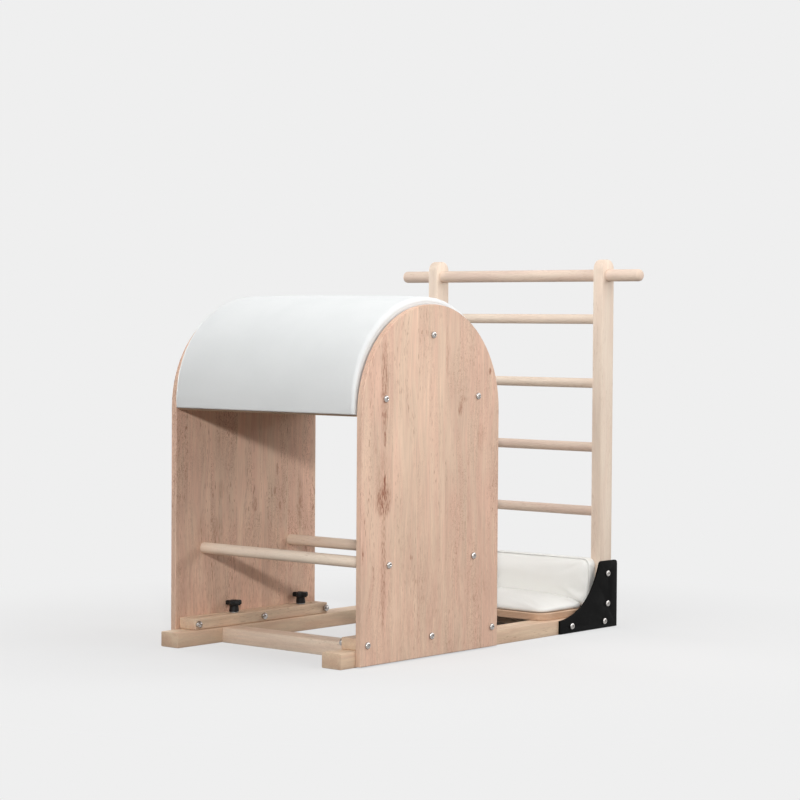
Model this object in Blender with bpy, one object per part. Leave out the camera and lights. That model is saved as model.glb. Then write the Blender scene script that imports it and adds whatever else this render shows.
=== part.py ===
"""Ladder barrel: a padded half barrel that slides along a wooden base, in front of a ladder.

X runs across the object, Y runs from the barrel to the ladder, and Z points up.
The origin lies on the floor under the middle of the base. All sizes are in metres.
"""

import math

import bmesh
import bpy
from mathutils import Matrix, Vector

# Fits
SEAT_GAP = 0.0003
SLIDE_GAP = 0.0005
BORE_GAP = 0.0003
SLOT_GAP = 0.0008
OVERCUT = 0.004

# Base
BASE_LENGTH = 1.172
BASE_WIDTH = 0.636
RAIL_WIDTH = 0.064
RAIL_HEIGHT = 0.040
RAIL_ROUNDING = 0.0025
CROSSBAR_WIDTH = 0.065
CROSSBAR_ROUNDING = 0.002
FRONT_CROSSBAR_SETBACK = 0.1645
TENON_LENGTH = 0.030
TENON_WIDTH = 0.042
TENON_HEIGHT = 0.018

# Ladder
LADDER_HEIGHT = 1.040
POST_WIDTH = 0.034
POST_DEPTH = 0.056
POST_SETBACK = 0.019
POST_ROUNDING = 0.004
TOP_BAR_LENGTH = 0.862
TOP_BAR_DIAMETER = 0.034
TOP_BAR_DROP = 0.045
TOP_BAR_END_ROUNDING = 0.010
RUNG_DIAMETER = 0.0275
RUNG_TENON = 0.022
RUNG_COUNT = 4
LOWEST_RUNG_HEIGHT = 0.3276
HIGHEST_RUNG_DROP = 0.1682

# Corner brackets
BRACKET_THICKNESS = 0.006
BRACKET_LENGTH = 0.270
BRACKET_HEIGHT = 0.190
BRACKET_TOP_WIDTH = 0.086
BRACKET_TOE_HEIGHT = 0.038
BRACKET_ARC_SAG = 0.0375
BRACKET_CORNER_RADIUS = 0.010
BRACKET_FLOOR_GAP = 0.001
BRACKET_POST_BOLT_HEIGHTS = {"low": 0.069, "high": 0.154}
BRACKET_RAIL_BOLT_SETBACKS = {"rear": 0.061, "front": 0.216}

# Foot seat
SEAT_INSET = 0.018
SEAT_DEPTH = 0.2437
SEAT_BOARD_THICKNESS = 0.020
SEAT_CORNER_RADIUS = 0.034
SEAT_PAD_THICKNESS = 0.036
SEAT_PAD_EDGE = 0.007
SEAT_PAD_ROLL = 0.085
BACK_BOARD_THICKNESS = 0.018
BACK_BOARD_HEIGHT = 0.136
BACK_CORNER_RADIUS = 0.020
BACK_PAD_THICKNESS = 0.032
BACK_PAD_EDGE = 0.008
BACK_PAD_ROLL = 0.045
PAD_BACK_ROLL = 0.018
PAD_MARGIN = 0.002
PAD_DRAW_IN = 0.003
BOARD_ROUNDING = 0.002

# Sliding barrel
BARREL_SETBACK = 0.0535
PANEL_DEPTH = 0.550
PANEL_THICKNESS = 0.018
PANEL_TOP = 0.906
PANEL_FLOOR_GAP = 0.003
PANEL_ROUNDING = 0.0015
RIB_THICKNESS = 0.030
RIB_WIDTH = 0.105
SHELL_THICKNESS = 0.009
SHELL_DROP = 0.0065
BARREL_PAD_THICKNESS = 0.032
BARREL_PAD_PROUD = 0.022
BARREL_PAD_ROLL = 0.007
BARREL_PAD_END_GAP = 0.0035
BARREL_PAD_LIFT = 0.0075
BARREL_PAD_DROP = 0.009
BARREL_PAD_CROWN = 0.002
BARREL_PAD_FOOT = ((1.0, 0.45), (0.85, 0.75), (0.45, 0.93))
TOP_BOLT_RADIUS = 0.197
SIDE_BOLT_RADIUS = 0.189
SIDE_BOLT_ANGLE = math.radians(11.3)
STRETCHER_DIAMETER = 0.030
STRETCHER_SPACING = 0.340
STRETCHER_HEIGHT = 0.250
STRETCHER_BOLT_GRIP = 0.038

# Slide bars and their clamps
SLIDE_BAR_INSET = 0.014
SLIDE_BAR_WIDTH = 0.060
SLIDE_BAR_HEIGHT = 0.030
SLIDE_BAR_ROUNDING = 0.002
SLIDE_BAR_BOLT_INSET = 0.011
SLIDE_TRAVEL = 0.180
KNOB_SPACING = 0.266
KNOB_MID_SETBACK = 0.3777
KNOB_DIAMETER = 0.046
KNOB_LOBES = 5
KNOB_LOBE_DEPTH = 0.0062
KNOB_HEAD_HEIGHT = 0.013
KNOB_ROUNDING = 0.003
KNOB_HUB_DIAMETER = 0.0235
KNOB_HUB_HEIGHT = 0.018
STUD_DIAMETER = 0.010
STUD_GRIP = 0.018
WASHER_DIAMETER = 0.024
WASHER_THICKNESS = 0.0016

# Bolts and nuts
BOLT_DIAMETER = 0.010
BOLT_HEAD_DIAMETER = 0.018
BOLT_HEAD_HEIGHT = 0.0055
BOLT_HEAD_SHOULDER = 0.0044
BOLT_HEAD_RIM = 0.0011
BOLT_SOCKET_DIAMETER = 0.0065
BOLT_SOCKET_DEPTH = 0.0025
BOLT_END = 0.004
NUT_WIDTH = 0.0165
NUT_HEIGHT = 0.008

# Facet counts
BOLT_SIDES = 12
WASHER_SIDES = 16
RUNG_SIDES = 20
TOP_BAR_SIDES = 24
ARCH_STEPS = 40
POST_STEPS = 12
BRACKET_STEPS = 12
SLOT_STEPS = 6
ROLL_STEPS = 4
CORNER_STEPS = 3
KNOB_LOBE_STEPS = 5
CUSHION_RINGS = (0.03, 0.10, 0.22, 0.42, 0.68, 1.0)
CUSHION_CORE = 0.010
CUSHION_WALL = 0.6
CUSHION_SIDE_STEPS = (7, 4)
SMOOTH_ANGLE = math.radians(35)

# Places that follow from the driving dimensions
FRONT_END = -BASE_LENGTH / 2
REAR_END = BASE_LENGTH / 2
RAIL_OUTER = BASE_WIDTH / 2
RAIL_INNER = RAIL_OUTER - RAIL_WIDTH
RAIL_X = (RAIL_OUTER + RAIL_INNER) / 2
RAIL_MID = RAIL_HEIGHT / 2
CROSSBAR_YS = {
    "front": FRONT_END + FRONT_CROSSBAR_SETBACK + CROSSBAR_WIDTH / 2,
    "rear": REAR_END - sum(BRACKET_RAIL_BOLT_SETBACKS.values()) / 2,
}

POST_INNER = RAIL_OUTER - POST_WIDTH
POST_X = (RAIL_OUTER + POST_INNER) / 2
POST_Y = REAR_END - POST_SETBACK - POST_DEPTH / 2
POST_FRONT = POST_Y - POST_DEPTH / 2
POST_BOTTOM = RAIL_HEIGHT + SEAT_GAP
TOP_BAR_HEIGHT = LADDER_HEIGHT - TOP_BAR_DROP
RUNG_PITCH = (LADDER_HEIGHT - HIGHEST_RUNG_DROP - LOWEST_RUNG_HEIGHT) / (RUNG_COUNT - 1)
RUNG_HEIGHTS = [LOWEST_RUNG_HEIGHT + RUNG_PITCH * step for step in range(RUNG_COUNT)]

SEAT_WIDTH = BASE_WIDTH - 2 * SEAT_INSET
SEAT_BOTTOM = RAIL_HEIGHT + SEAT_GAP
SEAT_TOP = SEAT_BOTTOM + SEAT_BOARD_THICKNESS
SEAT_REAR = POST_FRONT - SEAT_GAP
SEAT_FRONT = SEAT_REAR - SEAT_DEPTH
BACK_BOARD_FRONT = SEAT_REAR - BACK_BOARD_THICKNESS
BACK_BOARD_BOTTOM = SEAT_TOP + SEAT_GAP
BACK_BOARD_TOP = BACK_BOARD_BOTTOM + BACK_BOARD_HEIGHT
BACK_PAD_REAR = BACK_BOARD_FRONT - SEAT_GAP
SEAT_PAD_REAR = BACK_PAD_REAR - BACK_PAD_THICKNESS - SEAT_GAP

PANEL_INNER = RAIL_OUTER + SLIDE_GAP
PANEL_OUTER = PANEL_INNER + PANEL_THICKNESS
PANEL_RADIUS = PANEL_DEPTH / 2
SPRING_HEIGHT = PANEL_TOP - PANEL_RADIUS
BARREL_Y = FRONT_END + BARREL_SETBACK + PANEL_RADIUS
INSIDE_HALF_WIDTH = PANEL_INNER - SEAT_GAP
BARREL_PAD_OUTER = PANEL_RADIUS + BARREL_PAD_PROUD
BARREL_PAD_INNER = BARREL_PAD_OUTER - BARREL_PAD_THICKNESS
BARREL_PAD_ANGLE = BARREL_PAD_LIFT / BARREL_PAD_OUTER
SHELL_OUTER = BARREL_PAD_INNER - SEAT_GAP
SHELL_INNER = SHELL_OUTER - SHELL_THICKNESS
RIB_OUTER = SHELL_INNER - SEAT_GAP
RIB_INNER = RIB_OUTER - RIB_WIDTH

SLIDE_BAR_LENGTH = PANEL_DEPTH - 2 * SLIDE_BAR_INSET
SLIDE_BAR_BOLT_SPACING = SLIDE_BAR_LENGTH / 2 - SLIDE_BAR_BOLT_INSET
SLIDE_BAR_X = INSIDE_HALF_WIDTH - SLIDE_BAR_WIDTH / 2
SLIDE_BAR_BOTTOM = RAIL_HEIGHT + SLIDE_GAP
SLIDE_BAR_TOP = SLIDE_BAR_BOTTOM + SLIDE_BAR_HEIGHT
SLIDE_BAR_MID = (SLIDE_BAR_BOTTOM + SLIDE_BAR_TOP) / 2
KNOB_MID_Y = FRONT_END + KNOB_MID_SETBACK
KNOB_YS = {"front": KNOB_MID_Y - KNOB_SPACING / 2, "rear": KNOB_MID_Y + KNOB_SPACING / 2}
KNOB_BOTTOM = SLIDE_BAR_TOP + SEAT_GAP + WASHER_THICKNESS + SEAT_GAP
SLOT_WIDTH = STUD_DIAMETER + 2 * SLOT_GAP

BOLT_BORE = BOLT_DIAMETER / 2 + BORE_GAP
SIDE_BOLT_Y = SIDE_BOLT_RADIUS * math.cos(SIDE_BOLT_ANGLE)
SIDE_BOLT_Z = SPRING_HEIGHT + SIDE_BOLT_RADIUS * math.sin(SIDE_BOLT_ANGLE)
RIB_BOLTS = {
    "top": (0, SPRING_HEIGHT + TOP_BOLT_RADIUS),
    "front": (-SIDE_BOLT_Y, SIDE_BOLT_Z),
    "rear": (SIDE_BOLT_Y, SIDE_BOLT_Z),
}
STRETCHERS = {
    "front": (-STRETCHER_SPACING / 2, STRETCHER_HEIGHT),
    "rear": (STRETCHER_SPACING / 2, STRETCHER_HEIGHT),
}
SLIDE_BAR_BOLTS = {
    "front": (-SLIDE_BAR_BOLT_SPACING, SLIDE_BAR_MID),
    "middle": (0, SLIDE_BAR_MID),
    "rear": (SLIDE_BAR_BOLT_SPACING, SLIDE_BAR_MID),
}
SIDES = {"left": -1, "right": 1}

# Turns an outline of (Y, Z) points, drawn in the XY plane, to stand with its thickness along X
STAND = Matrix(((0, 0, 1, 0), (1, 0, 0, 0), (0, 1, 0, 0), (0, 0, 0, 1)))


def clear_scene():
    """Remove every object that the file holds."""
    for item in list(bpy.data.objects):
        bpy.data.objects.remove(item, do_unlink=True)


def linear(channel):
    """Turn one display colour channel, 0 to 255, into a linear value."""
    value = channel / 255
    if value <= 0.04045:
        return value / 12.92
    return ((value + 0.055) / 1.055) ** 2.4


def finish(name, colour, roughness, metallic=0.0):
    """Make a material from a display colour, a roughness and a metallic value."""
    material = bpy.data.materials.new(name)
    material.use_nodes = True
    shader = material.node_tree.nodes["Principled BSDF"]
    shader.inputs["Base Color"].default_value = (*[linear(channel) for channel in colour], 1.0)
    shader.inputs["Roughness"].default_value = roughness
    shader.inputs["Metallic"].default_value = metallic
    return material


def anchor(name, location):
    """Add an empty that carries the pieces of one moving body."""
    empty = bpy.data.objects.new(name, None)
    empty.location = location
    bpy.context.scene.collection.objects.link(empty)
    return empty


def add_piece(name, body, material, location=(0, 0, 0), parent=None):
    """Turn a bmesh into a named object at its place under its parent."""
    bmesh.ops.recalc_face_normals(body, faces=body.faces)
    mesh = bpy.data.meshes.new(name)
    body.to_mesh(mesh)
    body.free()
    mesh.shade_smooth()
    mesh.set_sharp_from_angle(angle=SMOOTH_ANGLE)
    mesh.materials.append(material)
    piece = bpy.data.objects.new(name, mesh)
    piece.location = location
    piece.parent = parent
    bpy.context.scene.collection.objects.link(piece)
    return piece


def group(bodies):
    """Join separate bodies, each given with its placing matrix, into one bmesh."""
    joined = bmesh.new()
    for body, placing in bodies:
        body.transform(placing)
        carrier = bpy.data.meshes.new("carrier")
        body.to_mesh(carrier)
        body.free()
        joined.from_mesh(carrier)
        bpy.data.meshes.remove(carrier)
    return joined


def combine(piece, bodies, operation):
    """Cut bodies, placed in the piece's own frame, out of a piece, or join them to it."""
    helper_mesh = bpy.data.meshes.new(f"{piece.name}_{operation.lower()}")
    tools = group(bodies)
    bmesh.ops.recalc_face_normals(tools, faces=tools.faces)
    tools.to_mesh(helper_mesh)
    tools.free()
    helper = bpy.data.objects.new(helper_mesh.name, helper_mesh)
    helper.location = piece.location
    helper.parent = piece.parent
    helper.hide_render = True
    helper.display_type = "WIRE"
    bpy.context.scene.collection.objects.link(helper)
    modifier = piece.modifiers.new(operation.lower(), "BOOLEAN")
    modifier.operation = operation
    modifier.solver = "EXACT"
    modifier.object = helper


def cut(piece, bodies):
    """Cut bodies out of a piece."""
    combine(piece, bodies, "DIFFERENCE")


def join(piece, bodies):
    """Join bodies to a piece as one solid."""
    combine(piece, bodies, "UNION")


def at(x, y, z, facing=(0, 0, 1)):
    """Place a body so that its own Z axis points along a direction."""
    turn = Vector((0, 0, 1)).rotation_difference(Vector(facing)).to_matrix().to_4x4()
    return Matrix.Translation((x, y, z)) @ turn


def rounded_box(length_x, length_y, length_z, rounding, segments=2):
    """Box about the origin with rounded edges."""
    body = bmesh.new()
    bmesh.ops.create_cube(body, size=1.0)
    bmesh.ops.scale(body, vec=(length_x, length_y, length_z), verts=body.verts)
    if rounding > 0:
        edges = body.edges[:]
        bmesh.ops.bevel(body, geom=edges, offset=rounding, segments=segments, profile=0.5, affect="EDGES")
    return body


def turned(profile, sides, closed=False):
    """Spin a profile of (radius, height) points about Z.

    An open profile starts and ends on the axis, and a closed one makes a sleeve.
    """
    body = bmesh.new()
    points = [body.verts.new((radius, 0, height)) for radius, height in profile]
    pairs = list(zip(points, points[1:]))
    if closed:
        pairs.append((points[-1], points[0]))
    edges = [body.edges.new(pair) for pair in pairs]
    bmesh.ops.spin(body, geom=points + edges, axis=(0, 0, 1), cent=(0, 0, 0), angle=math.tau, steps=sides)
    bmesh.ops.remove_doubles(body, verts=body.verts, dist=1e-6)
    return body


def rod(radius, top, bottom, sides):
    """Plain round rod along Z."""
    return turned([(0, top), (radius, top), (radius, bottom), (0, bottom)], sides)


def sleeve(outer_radius, inner_radius, height, sides):
    """Round sleeve along Z, standing on the origin."""
    profile = [(outer_radius, height), (outer_radius, 0), (inner_radius, 0), (inner_radius, height)]
    return turned(profile, sides, closed=True)


def circle(radius, height, points):
    """Closed round ring at a height."""
    angles = [math.tau * step / points for step in range(points)]
    return [(radius * math.cos(a), radius * math.sin(a), height) for a in angles]


def hexagon(width, height):
    """Closed hexagon ring at a height, with a point halfway along each of its flat sides."""
    flat = width / 2
    corner = flat / math.cos(math.pi / 6)
    angles = [math.tau * step / BOLT_SIDES for step in range(BOLT_SIDES)]
    reach = [corner if step % 2 == 0 else flat for step in range(BOLT_SIDES)]
    return [(r * math.cos(a), r * math.sin(a), height) for r, a in zip(reach, angles)]


def bolt(grip, has_nut):
    """Button-head bolt along Z, with the head's underside at the origin and the shank below it.

    A bolt with a nut carries it at the end of its grip, and one without ends there.
    """
    head = BOLT_HEAD_DIAMETER / 2
    socket = BOLT_SOCKET_DIAMETER / 2
    shank = BOLT_DIAMETER / 2
    rings = [
        circle(socket, BOLT_HEAD_HEIGHT - BOLT_SOCKET_DEPTH, BOLT_SIDES),
        circle(socket, BOLT_HEAD_HEIGHT, BOLT_SIDES),
        circle((head + socket) / 2, BOLT_HEAD_SHOULDER, BOLT_SIDES),
        circle(head, BOLT_HEAD_RIM, BOLT_SIDES),
        circle(head, 0, BOLT_SIDES),
        circle(shank, 0, BOLT_SIDES),
        circle(shank, -grip, BOLT_SIDES),
    ]
    if has_nut:
        under = -grip - NUT_HEIGHT
        rings += [hexagon(NUT_WIDTH, -grip), hexagon(NUT_WIDTH, under)]
        rings += [circle(shank, under - BOLT_END, BOLT_SIDES)]
    return loft(rings)


def prism(outline, thickness, rounding=0.0, segments=1):
    """Extrude an outline in the XY plane along Z, centred on the plane, with rounded rims."""
    body = bmesh.new()
    face = body.faces.new([body.verts.new((x, y, -thickness / 2)) for x, y in outline])
    grown = bmesh.ops.extrude_face_region(body, geom=[face])
    moved = [item for item in grown["geom"] if isinstance(item, bmesh.types.BMVert)]
    bmesh.ops.translate(body, vec=(0, 0, thickness), verts=moved)
    if rounding > 0:
        rims = [edge for edge in body.edges if abs(edge.verts[0].co.z - edge.verts[1].co.z) < thickness / 2]
        bmesh.ops.bevel(body, geom=rims, offset=rounding, segments=segments, profile=0.5, affect="EDGES")
    return body


def loft(rings):
    """Skin closed rings of equal point counts, in order, and cap both ends."""
    body = bmesh.new()
    loops = [[body.verts.new(point) for point in ring] for ring in rings]
    for lower, upper in zip(loops, loops[1:]):
        for index, corner in enumerate(lower):
            after = (index + 1) % len(lower)
            body.faces.new([corner, lower[after], upper[after], upper[index]])
    body.faces.new(loops[0])
    body.faces.new(loops[-1])
    return body


def arc(centre_x, centre_y, radius, start, end, steps):
    """Points along an arc, with both ends."""
    angles = [start + (end - start) * step / steps for step in range(steps + 1)]
    return [(centre_x + radius * math.cos(a), centre_y + radius * math.sin(a)) for a in angles]


def between(start, end, steps):
    """Points between two points, without the ends, closer together toward both ends."""
    shares = [(1 - math.cos(math.pi * step / steps)) / 2 for step in range(1, steps)]
    return [(start[0] + (end[0] - start[0]) * s, start[1] + (end[1] - start[1]) * s) for s in shares]


def rounded_outline(half_width, low, high, low_radius, high_radius, long_steps=1, short_steps=1):
    """Rectangle about X = 0, counted from low to high in Y, with rounded corners."""
    corners = [
        arc(half_width - low_radius, low + low_radius, low_radius, -math.pi / 2, 0, CORNER_STEPS),
        arc(half_width - high_radius, high - high_radius, high_radius, 0, math.pi / 2, CORNER_STEPS),
        arc(high_radius - half_width, high - high_radius, high_radius, math.pi / 2, math.pi, CORNER_STEPS),
        arc(low_radius - half_width, low + low_radius, low_radius, math.pi, math.pi * 1.5, CORNER_STEPS),
    ]
    points = []
    for index, corner in enumerate(corners):
        following = corners[(index + 1) % len(corners)]
        points += corner
        points += between(corner[-1], following[0], long_steps if index % 2 else short_steps)
    return points


def half_ring(outer, inner, drop):
    """Half ring in the YZ plane about the spring line, with both feet lengthened downward by a drop."""
    outside = arc(0, SPRING_HEIGHT, outer, 0, math.pi, ARCH_STEPS)
    inside = arc(0, SPRING_HEIGHT, inner, math.pi, 0, ARCH_STEPS)
    if drop == 0:
        return outside + inside
    foot = SPRING_HEIGHT - drop
    return [(outer, foot)] + outside + [(-outer, foot), (-inner, foot)] + inside + [(inner, foot)]


def rolled(distance, width):
    """Share of the full height at a distance in from a rolled edge."""
    short = 1 - min(max(distance / width, 0), 1)
    return math.sqrt(1 - short * short)


def cushion(width, low, high, thickness, edge, radii, rolls):
    """Upholstered pad on the XY plane: drawn in at its foot, rolled at its edges and crowned.

    radii holds the corner radius at the low and high sides.
    rolls holds the width of the rolled edge at the low side, the high side and both ends.
    """
    half = width / 2
    reach = min(half, (high - low) / 2) - CUSHION_CORE
    rings = []
    for share, rise in [(None, 0.0), (0.0, CUSHION_WALL)] + [(share, None) for share in CUSHION_RINGS]:
        inset = PAD_DRAW_IN if share is None else reach * share
        low_radius = max(radii[0] - inset, CUSHION_CORE / 2)
        high_radius = max(radii[1] - inset, CUSHION_CORE / 2)
        outline = rounded_outline(
            half - inset, low + inset, high - inset, low_radius, high_radius, *CUSHION_SIDE_STEPS)
        ring = []
        for x, y in outline:
            crown = rolled(y - low, rolls[0]) * rolled(high - y, rolls[1]) * rolled(half - abs(x), rolls[2])
            height = edge * rise if rise is not None else edge + (thickness - edge) * crown
            ring.append((x, y, height))
        rings.append(ring)
    return loft(rings)


def build_base(wood):
    """Rails with blind mortises and stud holes, and the crossbars whose tenons they hold."""
    for name, side in SIDES.items():
        body = rounded_box(RAIL_WIDTH, BASE_LENGTH, RAIL_HEIGHT, RAIL_ROUNDING)
        rail = add_piece(f"base_rail_{name}", body, wood, (side * RAIL_X, 0, RAIL_MID))
        outward = (side, 0, 0)
        inner = -side * RAIL_WIDTH / 2
        holes = []
        for y in CROSSBAR_YS.values():
            depth = TENON_LENGTH + SEAT_GAP
            size = (depth + OVERCUT, TENON_WIDTH + 2 * SEAT_GAP, TENON_HEIGHT + 2 * SEAT_GAP)
            holes.append((rounded_box(*size, 0), at(inner + side * (depth - OVERCUT) / 2, y, 0)))
        for setback in BRACKET_RAIL_BOLT_SETBACKS.values():
            through = rod(BOLT_BORE, RAIL_WIDTH + OVERCUT, -OVERCUT, BOLT_SIDES)
            holes.append((through, at(inner, REAR_END - setback, 0, outward)))
        for y in KNOB_YS.values():
            socket = rod(STUD_DIAMETER / 2 + BORE_GAP, OVERCUT, -STUD_GRIP - OVERCUT, BOLT_SIDES)
            holes.append((socket, at(side * (SLIDE_BAR_X - RAIL_X), y, RAIL_HEIGHT / 2)))
        cut(rail, holes)

    half = RAIL_INNER - SEAT_GAP
    for name, y in CROSSBAR_YS.items():
        body = rounded_box(2 * half, CROSSBAR_WIDTH, RAIL_HEIGHT, CROSSBAR_ROUNDING)
        crossbar = add_piece(f"{name}_crossbar", body, wood, (0, y, RAIL_MID))
        tenon = rounded_box(2 * (half + TENON_LENGTH), TENON_WIDTH, TENON_HEIGHT, 0)
        join(crossbar, [(tenon, at(0, 0, 0))])


def build_ladder(wood):
    """Posts with rounded tops, the top bar and the rungs."""
    radius = POST_DEPTH / 2
    crown = arc(0, LADDER_HEIGHT - radius, radius, 0, math.pi, POST_STEPS)
    outline = [(-radius, POST_BOTTOM), (radius, POST_BOTTOM)] + crown
    for name, side in SIDES.items():
        body = prism(outline, POST_WIDTH, POST_ROUNDING, 2)
        body.transform(STAND)
        post = add_piece(f"ladder_post_{name}", body, wood, (side * POST_X, POST_Y, 0))
        inner = -side * POST_WIDTH / 2
        outward = (side, 0, 0)
        bar_hole = rod(TOP_BAR_DIAMETER / 2 + BORE_GAP, POST_WIDTH + OVERCUT, -OVERCUT, TOP_BAR_SIDES)
        holes = [(bar_hole, at(inner, 0, TOP_BAR_HEIGHT, outward))]
        for height in RUNG_HEIGHTS:
            socket = rod(RUNG_DIAMETER / 2 + BORE_GAP, RUNG_TENON + SEAT_GAP, -OVERCUT, RUNG_SIDES)
            holes.append((socket, at(inner, 0, height, outward)))
        for height in BRACKET_POST_BOLT_HEIGHTS.values():
            through = rod(BOLT_BORE, POST_WIDTH + OVERCUT, -OVERCUT, BOLT_SIDES)
            holes.append((through, at(inner, 0, height, outward)))
        cut(post, holes)

    half = TOP_BAR_LENGTH / 2
    bar_radius = TOP_BAR_DIAMETER / 2
    soft = TOP_BAR_END_ROUNDING
    top = [(0, half)] + arc(bar_radius - soft, half - soft, soft, math.pi / 2, 0, CORNER_STEPS)
    bar = turned(top + [(radius, -z) for radius, z in reversed(top)], TOP_BAR_SIDES)
    bar.transform(at(0, 0, 0, (1, 0, 0)))
    add_piece("ladder_top_bar", bar, wood, (0, POST_Y, TOP_BAR_HEIGHT))
    reach = POST_INNER + RUNG_TENON
    for number, height in enumerate(reversed(RUNG_HEIGHTS), start=1):
        rung = rod(RUNG_DIAMETER / 2, reach, -reach, RUNG_SIDES)
        rung.transform(at(0, 0, 0, (1, 0, 0)))
        add_piece(f"ladder_rung_{number}", rung, wood, (0, POST_Y, height))


def bracket_outline():
    """Corner bracket in the YZ plane, its heel at Y = 0: a toe, a hollow front edge and a rounded top."""
    radius = BRACKET_CORNER_RADIUS
    foot = BRACKET_FLOOR_GAP
    toe = (-BRACKET_LENGTH, BRACKET_TOE_HEIGHT)
    shoulder = (-BRACKET_TOP_WIDTH, BRACKET_HEIGHT - radius)
    run = shoulder[0] - toe[0]
    rise = shoulder[1] - toe[1]
    chord = math.hypot(run, rise)
    hollow = []
    for step in range(1, BRACKET_STEPS):
        share = step / BRACKET_STEPS
        sag = 4 * BRACKET_ARC_SAG * share * (1 - share)
        y = toe[0] + run * share + rise / chord * sag
        z = toe[1] + rise * share - run / chord * sag
        hollow.append((y, z))
    top = BRACKET_HEIGHT - radius
    top_right = arc(-radius, top, radius, 0, math.pi / 2, CORNER_STEPS)
    top_left = arc(radius - BRACKET_TOP_WIDTH, top, radius, math.pi / 2, math.pi, CORNER_STEPS)
    return [(-BRACKET_LENGTH, foot), (0, foot)] + top_right + top_left + list(reversed(hollow)) + [toe]


def build_brackets(steel, nickel):
    """Steel corner plates on the outer faces of the posts and rails, with their bolts."""
    plate_x = RAIL_OUTER + SEAT_GAP + BRACKET_THICKNESS / 2
    head_x = RAIL_OUTER + SEAT_GAP + BRACKET_THICKNESS + SEAT_GAP
    spots = {
        f"post_{name}": (POST_Y, height, POST_WIDTH) for name, height in BRACKET_POST_BOLT_HEIGHTS.items()
    }
    spots |= {
        f"rail_{name}": (REAR_END - setback, RAIL_MID, RAIL_WIDTH)
        for name, setback in BRACKET_RAIL_BOLT_SETBACKS.items()
    }
    for name, side in SIDES.items():
        body = prism(bracket_outline(), BRACKET_THICKNESS)
        body.transform(STAND)
        plate = add_piece(f"corner_bracket_{name}", body, steel, (side * plate_x, REAR_END, 0))
        outward = (side, 0, 0)
        holes = []
        for spot, (y, z, wood_width) in spots.items():
            bore = rod(BOLT_BORE, BRACKET_THICKNESS, -BRACKET_THICKNESS, BOLT_SIDES)
            holes.append((bore, at(0, y - REAR_END, z, outward)))
            body = bolt(head_x - RAIL_OUTER + wood_width + SEAT_GAP, True)
            body.transform(at(0, 0, 0, outward))
            add_piece(f"bracket_bolt_{name}_{spot}", body, nickel, (side * head_x, y, z))
        cut(plate, holes)


def build_seat(wood, vinyl):
    """Foot seat: a padded board on the rails and a padded back board against the posts."""
    outline = rounded_outline(SEAT_WIDTH / 2, SEAT_FRONT, SEAT_REAR, SEAT_CORNER_RADIUS, BOARD_ROUNDING)
    body = prism(outline, SEAT_BOARD_THICKNESS, BOARD_ROUNDING)
    add_piece("seat_board", body, wood, (0, 0, (SEAT_BOTTOM + SEAT_TOP) / 2))

    upright = Matrix.Rotation(math.pi / 2, 4, "X")
    half_height = BACK_BOARD_HEIGHT / 2
    outline = rounded_outline(SEAT_WIDTH / 2, -half_height, half_height, BOARD_ROUNDING, BACK_CORNER_RADIUS)
    body = prism(outline, BACK_BOARD_THICKNESS, BOARD_ROUNDING)
    body.transform(upright)
    middle = (0, BACK_BOARD_FRONT + BACK_BOARD_THICKNESS / 2, BACK_BOARD_BOTTOM + half_height)
    add_piece("back_board", body, wood, middle)

    width = SEAT_WIDTH - 2 * PAD_MARGIN
    body = cushion(
        width, SEAT_FRONT + PAD_MARGIN, SEAT_PAD_REAR, SEAT_PAD_THICKNESS, SEAT_PAD_EDGE,
        (SEAT_CORNER_RADIUS, PAD_BACK_ROLL / 2), (SEAT_PAD_ROLL, PAD_BACK_ROLL, SEAT_PAD_ROLL))
    add_piece("seat_pad", body, vinyl, (0, 0, SEAT_TOP + SEAT_GAP))
    body = cushion(
        width, SEAT_TOP + SEAT_GAP, BACK_BOARD_TOP - PAD_MARGIN, BACK_PAD_THICKNESS, BACK_PAD_EDGE,
        (PAD_BACK_ROLL / 2, BACK_CORNER_RADIUS), (PAD_BACK_ROLL, BACK_PAD_ROLL, BACK_PAD_ROLL))
    body.transform(upright)
    add_piece("back_pad", body, vinyl, (0, BACK_PAD_REAR, 0))


def side_panel_outline():
    """Side panel in the YZ plane: straight sides under a half round top."""
    crown = arc(0, SPRING_HEIGHT, PANEL_RADIUS, 0, math.pi, ARCH_STEPS)
    return [(-PANEL_RADIUS, PANEL_FLOOR_GAP), (PANEL_RADIUS, PANEL_FLOOR_GAP)] + crown


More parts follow.
